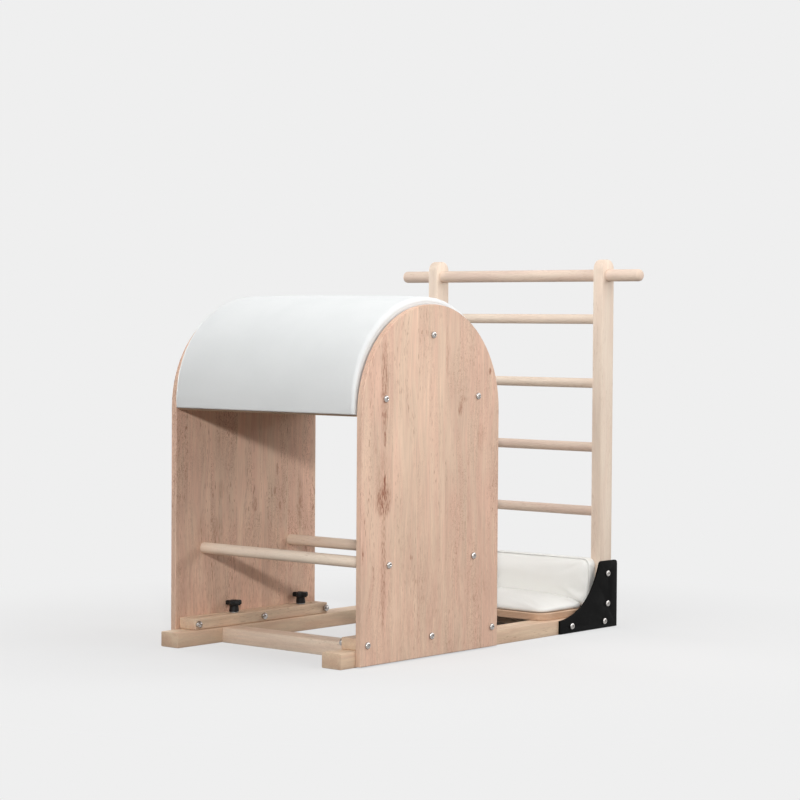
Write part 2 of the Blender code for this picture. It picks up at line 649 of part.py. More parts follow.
def build_panels(carriage, wood, nickel):
    """Side panels with the bolts that hold the ribs, stretchers and slide bars."""
    head_x = PANEL_OUTER + SEAT_GAP
    rib_grip = head_x - INSIDE_HALF_WIDTH + RIB_THICKNESS + SEAT_GAP
    stretcher_grip = head_x - INSIDE_HALF_WIDTH + STRETCHER_BOLT_GRIP
    bar_grip = head_x - INSIDE_HALF_WIDTH + SLIDE_BAR_WIDTH + SEAT_GAP
    bolts = {f"rib_{name}": (spot, rib_grip, True) for name, spot in RIB_BOLTS.items()}
    bolts |= {f"stretcher_{name}": (spot, stretcher_grip, False) for name, spot in STRETCHERS.items()}
    bolts |= {f"slide_bar_{name}": (spot, bar_grip, True) for name, spot in SLIDE_BAR_BOLTS.items()}
    for name, side in SIDES.items():
        body = prism(side_panel_outline(), PANEL_THICKNESS, PANEL_ROUNDING)
        body.transform(STAND)
        middle = side * (PANEL_INNER + PANEL_THICKNESS / 2)
        panel = add_piece(f"side_panel_{name}", body, wood, (middle, 0, 0), carriage)
        outward = (side, 0, 0)
        holes = []
        for spot, ((y, z), grip, has_nut) in bolts.items():
            bore = rod(BOLT_BORE, PANEL_THICKNESS, -PANEL_THICKNESS, BOLT_SIDES)
            holes.append((bore, at(0, y, z, outward)))
            body = bolt(grip, has_nut)
            body.transform(at(0, 0, 0, outward))
            add_piece(f"panel_bolt_{name}_{spot}", body, nickel, (side * head_x, y, z), carriage)
        cut(panel, holes)


def barrel_pad():
    """Foam and vinyl half barrel: one rounded section swept over the arch, thinner toward both feet."""
    half = INSIDE_HALF_WIDTH - BARREL_PAD_END_GAP
    soft = BARREL_PAD_ROLL
    inner = BARREL_PAD_INNER
    edge = BARREL_PAD_OUTER - BARREL_PAD_CROWN
    right = [(half - PAD_DRAW_IN, inner), (half, inner + (edge - inner) / 3)]
    right += arc(half - soft, edge - soft, soft, 0, math.pi / 2, ROLL_STEPS)
    right += [(half / 2, BARREL_PAD_OUTER - BARREL_PAD_CROWN / 4)]
    section = right + [(0, BARREL_PAD_OUTER)] + [(-x, radius) for x, radius in reversed(right)]
    first = BARREL_PAD_ANGLE
    last = math.pi - first
    front_feet = [(first, BARREL_PAD_DROP * lower, share) for lower, share in BARREL_PAD_FOOT]
    rear_feet = [(last, lower, share) for _, lower, share in reversed(front_feet)]
    angles = [first] + [math.pi * step / ARCH_STEPS for step in range(1, ARCH_STEPS)] + [last]
    over = [(angle, 0, 1) for angle in angles]
    rings = []
    for angle, lower, share in front_feet + over + rear_feet:
        ring = []
        for x, radius in section:
            reach = inner + (radius - inner) * share
            ring.append((x, -reach * math.cos(angle), SPRING_HEIGHT - lower + reach * math.sin(angle)))
        rings.append(ring)
    return loft(rings)


def build_barrel(carriage, plywood, dowel_wood, vinyl):
    """Ribs, bent shell, pad and stretchers between the side panels."""
    rib_x = INSIDE_HALF_WIDTH - RIB_THICKNESS / 2
    for name, x in {"left": -rib_x, "middle": 0, "right": rib_x}.items():
        body = prism(half_ring(RIB_OUTER, RIB_INNER, 0), RIB_THICKNESS)
        body.transform(STAND)
        rib = add_piece(f"arch_rib_{name}", body, plywood, (x, 0, 0), carriage)
        if name in SIDES:
            holes = []
            for y, z in RIB_BOLTS.values():
                bore = rod(BOLT_BORE, RIB_THICKNESS, -RIB_THICKNESS, BOLT_SIDES)
                holes.append((bore, at(0, y, z, (SIDES[name], 0, 0))))
            cut(rib, holes)
    body = prism(half_ring(SHELL_OUTER, SHELL_INNER, SHELL_DROP), 2 * INSIDE_HALF_WIDTH)
    body.transform(STAND)
    add_piece("barrel_shell", body, plywood, parent=carriage)
    add_piece("barrel_pad", barrel_pad(), vinyl, parent=carriage)

    half = INSIDE_HALF_WIDTH
    for name, (y, z) in STRETCHERS.items():
        body = rod(STRETCHER_DIAMETER / 2, half, -half, RUNG_SIDES)
        body.transform(at(0, 0, 0, (1, 0, 0)))
        stretcher = add_piece(f"{name}_stretcher", body, dowel_wood, (0, y, z), carriage)
        holes = []
        for side in SIDES.values():
            bore = rod(BOLT_BORE, OVERCUT, -STRETCHER_BOLT_GRIP - SEAT_GAP, BOLT_SIDES)
            holes.append((bore, at(side * half, 0, 0, (side, 0, 0))))
        cut(stretcher, holes)


def slot(length, width, height):
    """Straight slot with round ends along Y, cut through a height about the origin."""
    radius = width / 2
    straight = (length - width) / 2
    outline = arc(0, straight, radius, 0, math.pi, SLOT_STEPS)
    outline += arc(0, -straight, radius, math.pi, math.tau, SLOT_STEPS)
    return prism(outline, height)


def build_slide_bars(carriage, wood):
    """Slide bars on the rails, with a clamping slot for each knob."""
    slot_length = SLIDE_TRAVEL + SLOT_WIDTH
    for name, side in SIDES.items():
        body = rounded_box(SLIDE_BAR_WIDTH, SLIDE_BAR_LENGTH, SLIDE_BAR_HEIGHT, SLIDE_BAR_ROUNDING, 1)
        bar = add_piece(f"slide_bar_{name}", body, wood, (side * SLIDE_BAR_X, 0, SLIDE_BAR_MID), carriage)
        holes = []
        for y, _ in SLIDE_BAR_BOLTS.values():
            bore = rod(BOLT_BORE, SLIDE_BAR_WIDTH, -SLIDE_BAR_WIDTH, BOLT_SIDES)
            holes.append((bore, at(0, y, 0, (side, 0, 0))))
        for step in (-0.5, 0.5):
            opening = slot(slot_length, SLOT_WIDTH, SLIDE_BAR_HEIGHT + 2 * OVERCUT)
            holes.append((opening, at(0, step * KNOB_SPACING, 0)))
        cut(bar, holes)


def star_knob():
    """Star knob along Z, its hub standing on the origin: a stud below it and a lobed head above."""
    points = KNOB_LOBES * KNOB_LOBE_STEPS
    angles = [math.tau * step / points for step in range(points)]
    hub = KNOB_HUB_DIAMETER / 2
    head = KNOB_DIAMETER / 2
    stud = STUD_DIAMETER / 2
    low = KNOB_HUB_HEIGHT
    high = KNOB_HUB_HEIGHT + KNOB_HEAD_HEIGHT
    soft = KNOB_ROUNDING

    def lobed(radius, height):
        reach = [radius - KNOB_LOBE_DEPTH * (0.5 - 0.5 * math.cos(KNOB_LOBES * a)) for a in angles]
        return [(r * math.cos(a), r * math.sin(a), height) for r, a in zip(reach, angles)]

    return loft([
        circle(stud, RAIL_HEIGHT - STUD_GRIP - KNOB_BOTTOM, points),
        circle(stud, 0, points),
        circle(hub, 0, points),
        circle(hub, low, points),
        lobed(head - soft, low),
        lobed(head, low + soft),
        lobed(head, high - soft),
        lobed(head - soft, high),
    ])


def build_clamps(plastic, steel):
    """Four star knobs that clamp the slide bars to the rails, each with a washer."""
    for side_name, side in SIDES.items():
        for end_name, y in KNOB_YS.items():
            name = f"{end_name}_{side_name}"
            axis = anchor(f"clamp_axis_{name}", (side * SLIDE_BAR_X, y, KNOB_BOTTOM))
            add_piece(f"star_knob_{name}", star_knob(), plastic, parent=axis)
            bore = STUD_DIAMETER / 2 + BORE_GAP
            washer = sleeve(WASHER_DIAMETER / 2, bore, WASHER_THICKNESS, WASHER_SIDES)
            add_piece(f"knob_washer_{name}", washer, steel, (0, 0, -SEAT_GAP - WASHER_THICKNESS), axis)


def build():
    """Build the whole object."""
    clear_scene()
    panel_wood = finish("maple_panel", (214, 184, 160), 0.42)
    rail_wood = finish("rail_wood", (176, 144, 115), 0.5)
    ladder_wood = finish("pale_birch", (222, 203, 182), 0.45)
    plywood = finish("birch_plywood", (196, 168, 138), 0.55)
    nickel = finish("bright_nickel", (205, 200, 196), 0.18, 1.0)
    black_steel = finish("black_steel", (22, 23, 22), 0.45)
    zinc = finish("zinc_steel", (170, 172, 172), 0.35, 1.0)
    vinyl = finish("white_vinyl", (236, 237, 235), 0.45)
    plastic = finish("black_plastic", (20, 20, 21), 0.4)
    build_base(rail_wood)
    build_ladder(ladder_wood)
    build_brackets(black_steel, nickel)
    build_seat(plywood, vinyl)
    carriage = anchor("barrel_carriage", (0, BARREL_Y, 0))
    build_panels(carriage, panel_wood, nickel)
    build_barrel(carriage, plywood, ladder_wood, vinyl)
    build_slide_bars(carriage, rail_wood)
    build_clamps(plastic, zinc)
    bpy.context.view_layer.update()


build()
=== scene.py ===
"""Looks of the ladder barrel: finishes, upholstery, fasteners, studio and camera.

Lengths are in metres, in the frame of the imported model: X runs across the object, Y from the barrel to the
ladder, and Z up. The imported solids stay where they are. The soft pads, knobs and bolts are made anew here.
"""

import logging
import math
from dataclasses import dataclass
from enum import Enum

import bmesh
import bpy
from mathutils import Matrix, Vector, noise


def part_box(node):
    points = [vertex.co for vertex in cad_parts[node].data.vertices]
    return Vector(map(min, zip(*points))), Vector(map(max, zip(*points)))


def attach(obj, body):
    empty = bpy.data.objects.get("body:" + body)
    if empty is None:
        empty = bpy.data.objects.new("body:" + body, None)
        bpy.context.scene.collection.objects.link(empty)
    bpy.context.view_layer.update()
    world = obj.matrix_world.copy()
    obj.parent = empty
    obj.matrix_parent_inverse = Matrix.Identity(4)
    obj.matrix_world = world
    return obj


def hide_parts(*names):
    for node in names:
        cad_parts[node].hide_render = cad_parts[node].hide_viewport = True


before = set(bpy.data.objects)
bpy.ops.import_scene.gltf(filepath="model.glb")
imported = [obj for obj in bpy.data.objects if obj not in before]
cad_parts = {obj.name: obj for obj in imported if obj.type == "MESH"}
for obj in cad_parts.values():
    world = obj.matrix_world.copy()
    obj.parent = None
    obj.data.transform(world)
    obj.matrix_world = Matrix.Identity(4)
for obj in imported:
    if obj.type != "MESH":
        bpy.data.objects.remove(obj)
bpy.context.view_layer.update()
NODES: dict[str, bpy.types.Object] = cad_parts
LOG = logging.getLogger("ladder_barrel")

Socket = bpy.types.NodeSocket
Finish = bpy.types.Material
Piece = bpy.types.Object
Body = bmesh.types.BMesh
Colour = tuple[int, int, int]
Point = tuple[float, float, float]
Rows = list[tuple[float, ...]]
Value = Socket | float | tuple[float, ...]

SIDES = ("left", "right")
ENDS = ("front", "rear")
ARCH_Y = -0.2575
ARCH_Z = 0.631
MERGE_DISTANCE = 1e-5
ARRIS_ANGLE = 40.0
SMOOTH_ANGLE = 34.0


class Axis(Enum):
    """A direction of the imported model's frame."""

    X = 0
    Y = 1
    Z = 2


class Layers(Enum):
    """What the plies of a plywood piece are stacked along."""

    X = 0
    Y = 1
    Z = 2
    RADIUS = 3


def linear(colour: Colour) -> tuple[float, float, float, float]:
    """Turn a display colour into a linear one, by the sRGB curve.

    Args:
        colour: Red, green and blue, 0 to 255.

    Returns:
        The linear colour with full alpha.
    """
    shares = [channel / 255 for channel in colour]
    red, green, blue = (s / 12.92 if s <= 0.04045 else ((s + 0.055) / 1.055) ** 2.4 for s in shares)
    return red, green, blue, 1.0


@dataclass(frozen=True)
class Figure:
    """A noise: its cells in a metre, its finer layers, how far it is stirred and how it is drawn out."""

    scale: float
    detail: float = 2.0
    roughness: float = 0.5
    swirl: float = 0.0
    stretch: Point | None = None


def drawn(scale: float, along: float, detail: float = 2.0, roughness: float = 0.5,
          swirl: float = 0.0) -> Figure:
    """Make a figure that is drawn out along a wood's grain."""
    return Figure(scale, detail, roughness, swirl, (1.0, 1.0, along))


class Recipe:
    """Node tree of one material, with short calls for the nodes that the finishes share."""

    NOISE_SPAN = (0.30, 0.70)
    FLAT_TO_EDGE = (0.995, 0.80)

    def __init__(self, name: str) -> None:
        """Start a material with a plain shader.

        Args:
            name: The material's name.
        """
        self.material = bpy.data.materials.new(name)
        self.material.use_nodes = True
        self.tree = self.material.node_tree
        self.shader = self.tree.nodes["Principled BSDF"]
        coordinates = self.tree.nodes.new("ShaderNodeTexCoord")
        self.point = coordinates.outputs["Object"]
        self.normal = coordinates.outputs["Normal"]

    def feed(self, socket: Socket, value: Value) -> None:
        """Link a socket to another, or set it.

        Args:
            socket: The input to feed.
            value: An output to link from, or a plain value.
        """
        if isinstance(value, Socket):
            self.tree.links.new(value, socket)
        else:
            socket.default_value = value

    def node(self, kind: str, inputs: dict[str | int, Value], **settings: object) -> bpy.types.Node:
        """Add a node.

        Args:
            kind: The node's type.
            inputs: Values or outputs for its inputs, by name or place.
            **settings: Properties of the node itself.

        Returns:
            The new node.
        """
        made = self.tree.nodes.new(kind)
        for key, setting in settings.items():
            setattr(made, key, setting)
        for key, value in inputs.items():
            self.feed(made.inputs[key], value)
        return made

    def math(self, operation: str, first: Value, second: Value = 0.0, third: Value = 0.0) -> Socket:
        """Add a Math node and give its result."""
        return self.node("ShaderNodeMath", {0: first, 1: second, 2: third}, operation=operation).outputs[0]

    def times(self, first: Value, second: Value) -> Socket:
        """Multiply two values."""
        return self.math("MULTIPLY", first, second)

    def split(self, vector: Value) -> list[Socket]:
        """Give the three parts of a vector."""
        return list(self.node("ShaderNodeSeparateXYZ", {0: vector}).outputs)

    def join(self, x: Value, y: Value, z: Value) -> Socket:
        """Make a vector of three parts."""
        return self.node("ShaderNodeCombineXYZ", {0: x, 1: y, 2: z}).outputs[0]

    def vector(self, operation: str, first: Value, second: Value = (0.0, 0.0, 0.0)) -> Socket:
        """Add a Vector Math node and give its vector, or its value for a dot product or a length."""
        made = self.node("ShaderNodeVectorMath", {0: first, 1: second}, operation=operation)
        return made.outputs["Value" if operation in ("DOT_PRODUCT", "LENGTH") else "Vector"]

    def noise(self, at: Value, figure: Figure) -> Socket:
        """Give a noise value from 0 to 1.

        Args:
            at: Where it is read.
            figure: Its scale and form.

        Returns:
            The noise value.
        """
        if figure.stretch is not None:
            at = self.vector("MULTIPLY", at, figure.stretch)
        inputs = {"Vector": at, "Scale": figure.scale, "Detail": figure.detail,
                  "Roughness": figure.roughness, "Distortion": figure.swirl}
        return self.node("ShaderNodeTexNoise", inputs).outputs[0]

    def ramp(self, value: Value, low: float, high: float, start: float = 0.0, end: float = 1.0) -> Socket:
        """Ease a value from the span low to high onto the span start to end, held at both ends."""
        inputs = {"Value": value, "From Min": low, "From Max": high, "To Min": start, "To Max": end}
        return self.node("ShaderNodeMapRange", inputs, interpolation_type="SMOOTHSTEP").outputs[0]

    def swing(self, value: Value, start: float, end: float) -> Socket:
        """Ease a noise value over its middle span to another span."""
        return self.ramp(value, *self.NOISE_SPAN, start, end)

    def mix(self, share: Value, first: Value, second: Value, mode: str = "MIX") -> Socket:
        """Mix two colours, by how much of the second shows."""
        inputs = {0: share, 6: first, 7: second}
        return self.node("ShaderNodeMix", inputs, data_type="RGBA", blend_type=mode).outputs[2]

    def shaded(self, colour: Value, level: Value) -> Socket:
        """Multiply a colour by a value."""
        grey = self.node("ShaderNodeCombineColor", {0: level, 1: level, 2: level}).outputs[0]
        return self.mix(1.0, colour, grey, "MULTIPLY")

    def edges(self, radius: float) -> Socket:
        """Give a value that rises toward sharp edges.

        Args:
            radius: How far from an edge it reaches.

        Returns:
            0 on flat faces, and up to 1 at an edge.
        """
        soft = self.node("ShaderNodeBevel", {"Radius": radius}, samples=4).outputs[0]
        flat = self.node("ShaderNodeNewGeometry", {}).outputs["True Normal"]
        return self.ramp(self.vector("DOT_PRODUCT", soft, flat), *self.FLAT_TO_EDGE)

    def bump(self, height: Value, depth: float) -> Socket:
        """Add a bump of a depth in metres, and give its normal."""
        return self.node("ShaderNodeBump", {"Strength": 1.0, "Distance": depth, "Height": height}).outputs[0]

    def finish(self, colour: Value, roughness: Value, normal: Value, **sockets: float) -> Finish:
        """Feed the shader.

        Args:
            colour: Base colour.
            roughness: Roughness.
            normal: Bumped normal.
            **sockets: Other values, by the socket's name with _ for a space.

        Returns:
            The finished material.
        """
        for name, value in (("Base Color", colour), ("Roughness", roughness), ("Normal", normal)):
            self.feed(self.shader.inputs[name], value)
        for name, value in sockets.items():
            self.shader.inputs[name.replace("_", " ")].default_value = value
        return self.material


@dataclass(frozen=True)
class KnotAndShade:
    """A flecked knot, or a broad flecked patch of painted shade: its middle across and along the grain, its
    half sizes and its strength.
    """

    across: float
    along: float
    half_width: float
    half_length: float
    strength: float = 1.0


@dataclass(frozen=True)
class Stave:
    """One board of a glued panel: where it starts across the grain, how light, pink and curly it is."""

    start: float
    light: float
    pink: float
    curl: float


@dataclass(frozen=True)
class Wood:
    """Solid wood under a clear matt lacquer."""

    name: str
    straw: Colour
    pink: Colour
    dark: Colour
    grain: Axis
    staves: tuple[Stave, ...] = (Stave(0.0, 1.0, 0.5, 0.3),)
    contrast: float = 1.0
    flecks: float = 0.5
    end_grain_and_painted_shade: float = 0.3
    roughness: float = 0.50
    knots_and_shade: tuple[KnotAndShade, ...] = ()
    shift: float = 0.0

    TRAITS = ("light", "pink", "curl")
    SWAY = drawn(9.0, 0.35, 1.0)
    STREAKS = drawn(38.0, 0.12, 2.0, 0.55)
    LINES = drawn(130.0, 0.050, 3.0, 0.6)
    FIBRE = drawn(700.0, 0.020, 2.0, 0.6)
    CLOUD = drawn(13.0, 0.30)
    SWIRLS = drawn(115.0, 0.42, 1.0, 0.4, 2.2)
    PATCHES = drawn(18.0, 0.25)
    DASHES = drawn(430.0, 0.11, 1.0, 0.4)
    CROWD = drawn(27.0, 0.11)
    SPECKLE = drawn(360.0, 0.17)
    PORES = Figure(520.0)
    SWAY_REACH = 0.011
    STREAK_HUE = 0.44
    STAVE_SHIFT = 0.37
    GLUE_LINE = (0.0016, 0.0004)
    GLUE_SHARE = 0.45
    CURL_SHARE = 0.42
    EDGE_WIDTH = 0.003
    EDGE_SHARE = 0.12
    FIBRE_DEPTH = 0.00022

    def boards(self, r: Recipe, across: Value) -> tuple[Value, ...]:
        """Step through the staves across the grain.

        Args:
            r: The material's recipe.
            across: The place across the grain.

        Returns:
            The light, pink and curl of the stave, a shift of its figure, and its glue lines.
        """
        traits: dict[str, Value] = {name: getattr(self.staves[0], name) for name in self.TRAITS}
        shift: Value = self.shift
        glue: Value = 0.0
        for before, stave in zip(self.staves, self.staves[1:]):
            over = r.math("GREATER_THAN", across, stave.start)
            for name, value in traits.items():
                rise = getattr(stave, name) - getattr(before, name)
                traits[name] = r.math("MULTIPLY_ADD", over, rise, value)
            shift = r.math("MULTIPLY_ADD", over, self.STAVE_SHIFT, shift)
            away = r.math("ABSOLUTE", r.math("SUBTRACT", across, stave.start))
            glue = r.math("MAXIMUM", glue, r.ramp(away, *self.GLUE_LINE))
        return *traits.values(), shift, glue

    def marks(self, r: Recipe, across: Value, along: Value, place: Value) -> Value:
        """Draw the knots and their flecks, and the broad flecked patches of painted shade.

        Args:
            r: The material's recipe.
            across: The place across the grain.
            along: The place along the grain.
            place: The swayed place that the flecks follow.

        Returns:
            How dark the marks are, 0 to 1.
        """
        mark: Value = 0.0
        if self.knots_and_shade:
            dots = r.ramp(r.noise(place, self.SPECKLE), 0.46, 0.64, 0.32, 1.0)
            # Each patch darkens the wood in flecks; the broad ones low on the panels are painted shade.
            for dark_patch in self.knots_and_shade:
                sides = r.math("DIVIDE", r.math("SUBTRACT", across, dark_patch.across), dark_patch.half_width)
                ends = r.math("DIVIDE", r.math("SUBTRACT", along, dark_patch.along), dark_patch.half_length)
                far = r.math("MULTIPLY_ADD", sides, sides, r.times(ends, ends))
                near = r.ramp(far, 1.0, 0.0, 0.0, dark_patch.strength)
                mark = r.math("MAXIMUM", mark, r.times(near, dots))
        return mark

    def material(self) -> Finish:
        """Make the wood's material.

        Returns:
            The material, with staves, streaks, curl, fibre, flecks, knots, end grain and painted shade.
        """
        r = Recipe(self.name)
        straw, pinker, dark = linear(self.straw), linear(self.pink), linear(self.dark)
        parts = r.split(r.point)
        along = parts.pop(self.grain.value)
        across, through = reversed(parts) if self.grain is Axis.Z else parts
        light, pink, curl, shift, glue = self.boards(r, across)
        place = r.join(across, r.math("ADD", through, shift), along)
        sway = r.ramp(r.noise(place, self.SWAY), 0.2, 0.8, -self.SWAY_REACH, self.SWAY_REACH)
        place = r.vector("ADD", place, r.join(sway, 0.0, 0.0))

        streaks = r.swing(r.noise(place, self.STREAKS), -self.STREAK_HUE, self.STREAK_HUE)
        colour = r.mix(r.math("ADD", streaks, pink), straw, pinker)
        fibre = r.noise(place, self.FIBRE)
        lines, cloud = r.noise(place, self.LINES), r.noise(place, self.CLOUD)
        shade = light
        for figure, darker, lighter in ((lines, 0.05, 0.04), (fibre, 0.06, 0.04), (cloud, 0.07, 0.045)):
            shade = r.times(shade, r.swing(figure, 1 - darker * self.contrast, 1 + lighter * self.contrast))
        colour = r.shaded(colour, shade)

        turns = r.math("ABSOLUTE", r.math("SUBTRACT", r.noise(place, self.SWIRLS), 0.5))
        patches = r.times(r.ramp(r.noise(place, self.PATCHES), 0.40, 0.60), curl)
        curls = r.times(r.ramp(turns, 0.055, 0.012), patches)
        colour = r.mix(r.times(curls, self.CURL_SHARE * self.contrast), colour, dark)

        dashes = r.ramp(r.noise(place, self.DASHES), 0.61, 0.70)
        crowd = r.ramp(r.noise(place, self.CROWD), 0.42, 0.64, 0.06, 1.0)
        fleck = r.times(r.times(dashes, crowd), self.flecks)
        fleck = r.math("MAXIMUM", fleck, self.marks(r, across, along, place))
        colour = r.mix(fleck, colour, dark)
        if len(self.staves) > 1:
            colour = r.mix(r.times(glue, self.GLUE_SHARE), colour, straw)

        # End grain is darker; the panels' stronger darkening also paints shade on the upward-facing top of
        # their arch edge.
        facing = r.math("ABSOLUTE", r.split(r.normal)[self.grain.value])
        pores = r.ramp(r.noise(place, self.PORES), 0.35, 0.70, 0.4, 1.0)
        ends = r.times(r.ramp(facing, 0.25, 0.70), pores)
        colour = r.mix(r.times(ends, self.end_grain_and_painted_shade), colour, dark)
        colour = r.mix(r.times(r.edges(self.EDGE_WIDTH), self.EDGE_SHARE), colour, dark)

        normal = r.bump(r.math("MULTIPLY_ADD", fibre, 0.6, r.times(fleck, -1.0)), self.FIBRE_DEPTH)
        rough = r.swing(fibre, self.roughness - 0.05, self.roughness + 0.08)
        return r.finish(colour, rough, normal, Specular_IOR_Level=0.35)


@dataclass(frozen=True)
class Plywood:
    """Lacquered plywood: plain faces and striped edges."""

    name: str
    face: Colour
    dark: Colour
    grain: Axis
    layers: Layers
    ply: float = 0.0018

    CLOUD = Figure(14.0, 3.0)
    FIBRE = Figure(380.0, 3.0, 0.6)
    WOBBLE = Figure(60.0)
    GRAIN_STRETCH = 0.05
    FIBRE_DEPTH = 0.0002

    def stack(self, r: Recipe) -> tuple[Socket, Socket]:
        """Find how the surface lies in the stack of plies.

        Args:
            r: The material's recipe.

        Returns:
            The depth in the stack, and how squarely the surface faces along it, 0 to 1.
        """
        parts = r.split(r.point)
        if self.layers is Layers.RADIUS:
            out = r.join(0.0, r.math("SUBTRACT", parts[1], ARCH_Y), r.math("SUBTRACT", parts[2], ARCH_Z))
            depth = r.vector("LENGTH", out)
            outward = r.vector("DIVIDE", out, r.join(depth, depth, depth))
            facing = r.vector("DOT_PRODUCT", r.normal, outward)
        else:
            depth = parts[self.layers.value]
            facing = r.split(r.normal)[self.layers.value]
        return depth, r.math("ABSOLUTE", facing)

    def material(self) -> Finish:
        """Make the plywood's material.

        Returns:
            The material, with a rotary-cut face and plies on its edges.
        """
        r = Recipe(self.name)
        face, dark = linear(self.face), linear(self.dark)
        depth, facing = self.stack(r)
        edge = r.ramp(r.math("SUBTRACT", 1.0, facing), 0.5, 0.85)
        stretch = [1.0, 1.0, 1.0]
        stretch[self.grain.value] = self.GRAIN_STRETCH
        place = r.vector("MULTIPLY", r.point, tuple(stretch))
        fibre = r.noise(place, self.FIBRE)
        colour = r.mix(r.ramp(r.noise(place, self.CLOUD), 0.35, 0.7, 0.0, 0.45), face, dark)
        colour = r.shaded(colour, r.ramp(fibre, 0.25, 0.75, 0.92, 1.05))
        wobble = r.times(r.noise(r.point, self.WOBBLE), self.ply * 0.5)
        turn = r.math("PINGPONG", r.math("ADD", depth, wobble), self.ply)
        stripe = r.ramp(turn, self.ply * 0.35, self.ply * 0.65, 0.10, 0.75)
        colour = r.mix(r.times(edge, stripe), colour, dark)
        return r.finish(colour, r.swing(fibre, 0.48, 0.62), r.bump(fibre, self.FIBRE_DEPTH))


@dataclass(frozen=True)
class Vinyl:
    """Upholstery vinyl with a fine pressed leather grain."""

    name: str
    colour: Colour
    shade: Colour
    roughness: float = 0.42

    FINE = Figure(1500.0)
    CLOUD = Figure(5.0, 3.0)
    RUB = Figure(26.0, 4.0, 0.6, 0.0, (1.0, 3.0, 1.0))
    PEBBLE_SCALE = 520.0
    BEND_SCALE = 240.0
    BEND = (0.0016, 0.0016, 0.0016)
    PEBBLE_DEPTH = 0.00011

    def material(self) -> Finish:
        """Make the vinyl's material.

        Returns:
            The material, with pebbles, painted shade in the grooves between them, pores and faint handling
            marks.
        """
        r = Recipe(self.name)
        shade = linear(self.shade)
        stir = r.node("ShaderNodeTexNoise", {"Vector": r.point, "Scale": self.BEND_SCALE}).outputs["Color"]
        bent = r.vector("ADD", r.point, r.vector("MULTIPLY", stir, self.BEND))
        inputs = {"Vector": bent, "Scale": self.PEBBLE_SCALE}
        cells = r.node("ShaderNodeTexVoronoi", inputs, feature="DISTANCE_TO_EDGE").outputs[0]
        pebble = r.ramp(cells, 0.0, 0.22)
        cloud = r.ramp(r.noise(r.point, self.CLOUD), 0.4, 0.75, 0.0, 0.35)
        colour = r.mix(cloud, linear(self.colour), shade)
        # Painted shade: the grooves between the pebbles are darkened.
        colour = r.mix(r.ramp(pebble, 0.0, 0.7, 0.22, 0.0), colour, shade)
        height = r.math("ADD", pebble, r.times(r.noise(r.point, self.FINE), 0.25))
        normal = r.bump(height, self.PEBBLE_DEPTH)
        rub = r.noise(r.point, self.RUB)
        rough = r.ramp(rub, 0.3, 0.75, self.roughness - 0.05, self.roughness + 0.08)
        return r.finish(colour, rough, normal, Specular_IOR_Level=0.42)


@dataclass(frozen=True)
class PowderCoat:
    """Powder-coated steel with a slight orange peel and rubbed edges."""

    name: str
    colour: Colour
    bare: Colour

    PEEL = Figure(900.0)
    GRAINS = Figure(2600.0, 1.0)
    DUST = Figure(40.0, 4.0, 0.65)
    RUB_WIDTH = 0.002
    PEEL_DEPTH = 0.0002

    def material(self) -> Finish:
        """Make the coat's material.

        Returns:
            The material, with grains of coat and paler edges.
        """
        r = Recipe(self.name)
        bare = linear(self.bare)
        dust = r.noise(r.point, self.DUST)
        scuffs = r.times(r.edges(self.RUB_WIDTH), r.ramp(dust, 0.35, 0.65))
        colour = r.mix(r.times(scuffs, 0.55), linear(self.colour), bare)
        colour = r.mix(r.ramp(dust, 0.5, 0.8, 0.0, 0.10), colour, bare)
        grains = r.times(r.noise(r.point, self.GRAINS), 0.3)
        normal = r.bump(r.math("ADD", r.noise(r.point, self.PEEL), grains), self.PEEL_DEPTH)
        return r.finish(colour, r.swing(dust, 0.52, 0.64), normal, Specular_IOR_Level=0.07)


@dataclass(frozen=True)
class Plated:
    """Bright plated steel with fine turning marks."""

    name: str
    colour: Colour
    roughness: float

    SCRATCH = Figure(2400.0, 2.0, 0.6, 0.0, (0.1, 1.0, 1.0))
    CLOUD = Figure(60.0, 3.0)
    SCRATCH_DEPTH = 0.00003

    def material(self) -> Finish:
        """Make the plating's material.

        Returns:
            The material, with scratches and clouded gloss.
        """
        r = Recipe(self.name)
        scratch = r.noise(r.point, self.SCRATCH)
        cloud = r.noise(r.point, self.CLOUD)
        colour = r.shaded(linear(self.colour), r.ramp(cloud, 0.35, 0.7, 1.0, 0.86))
        marks = r.ramp(scratch, 0.55, 0.8, 0.0, 0.12)
        rough = r.math("ADD", r.swing(cloud, self.roughness, self.roughness + 0.10), marks)
        return r.finish(colour, rough, r.bump(scratch, self.SCRATCH_DEPTH), Metallic=1.0)


@dataclass(frozen=True)
class Moulded:
    """Black moulded plastic with a spark-eroded texture."""

    name: str
    colour: Colour
    worn: Colour

    GRAIN = Figure(3200.0)
    CLOUD = Figure(90.0, 3.0)
    RUB_WIDTH = 0.0025
    GRAIN_DEPTH = 0.00012

    def material(self) -> Finish:
        """Make the plastic's material.

        Returns:
            The material, with fine grain and shiny rubbed edges.
        """
        r = Recipe(self.name)
        rub = r.edges(self.RUB_WIDTH)
        colour = r.mix(r.times(rub, 0.45), linear(self.colour), linear(self.worn))
        cloud = r.swing(r.noise(r.point, self.CLOUD), 0.44, 0.58)
        rough = r.math("SUBTRACT", cloud, r.times(rub, 0.16))
        normal = r.bump(r.noise(r.point, self.GRAIN), self.GRAIN_DEPTH)
        return r.finish(colour, rough, normal, Specular_IOR_Level=0.30)


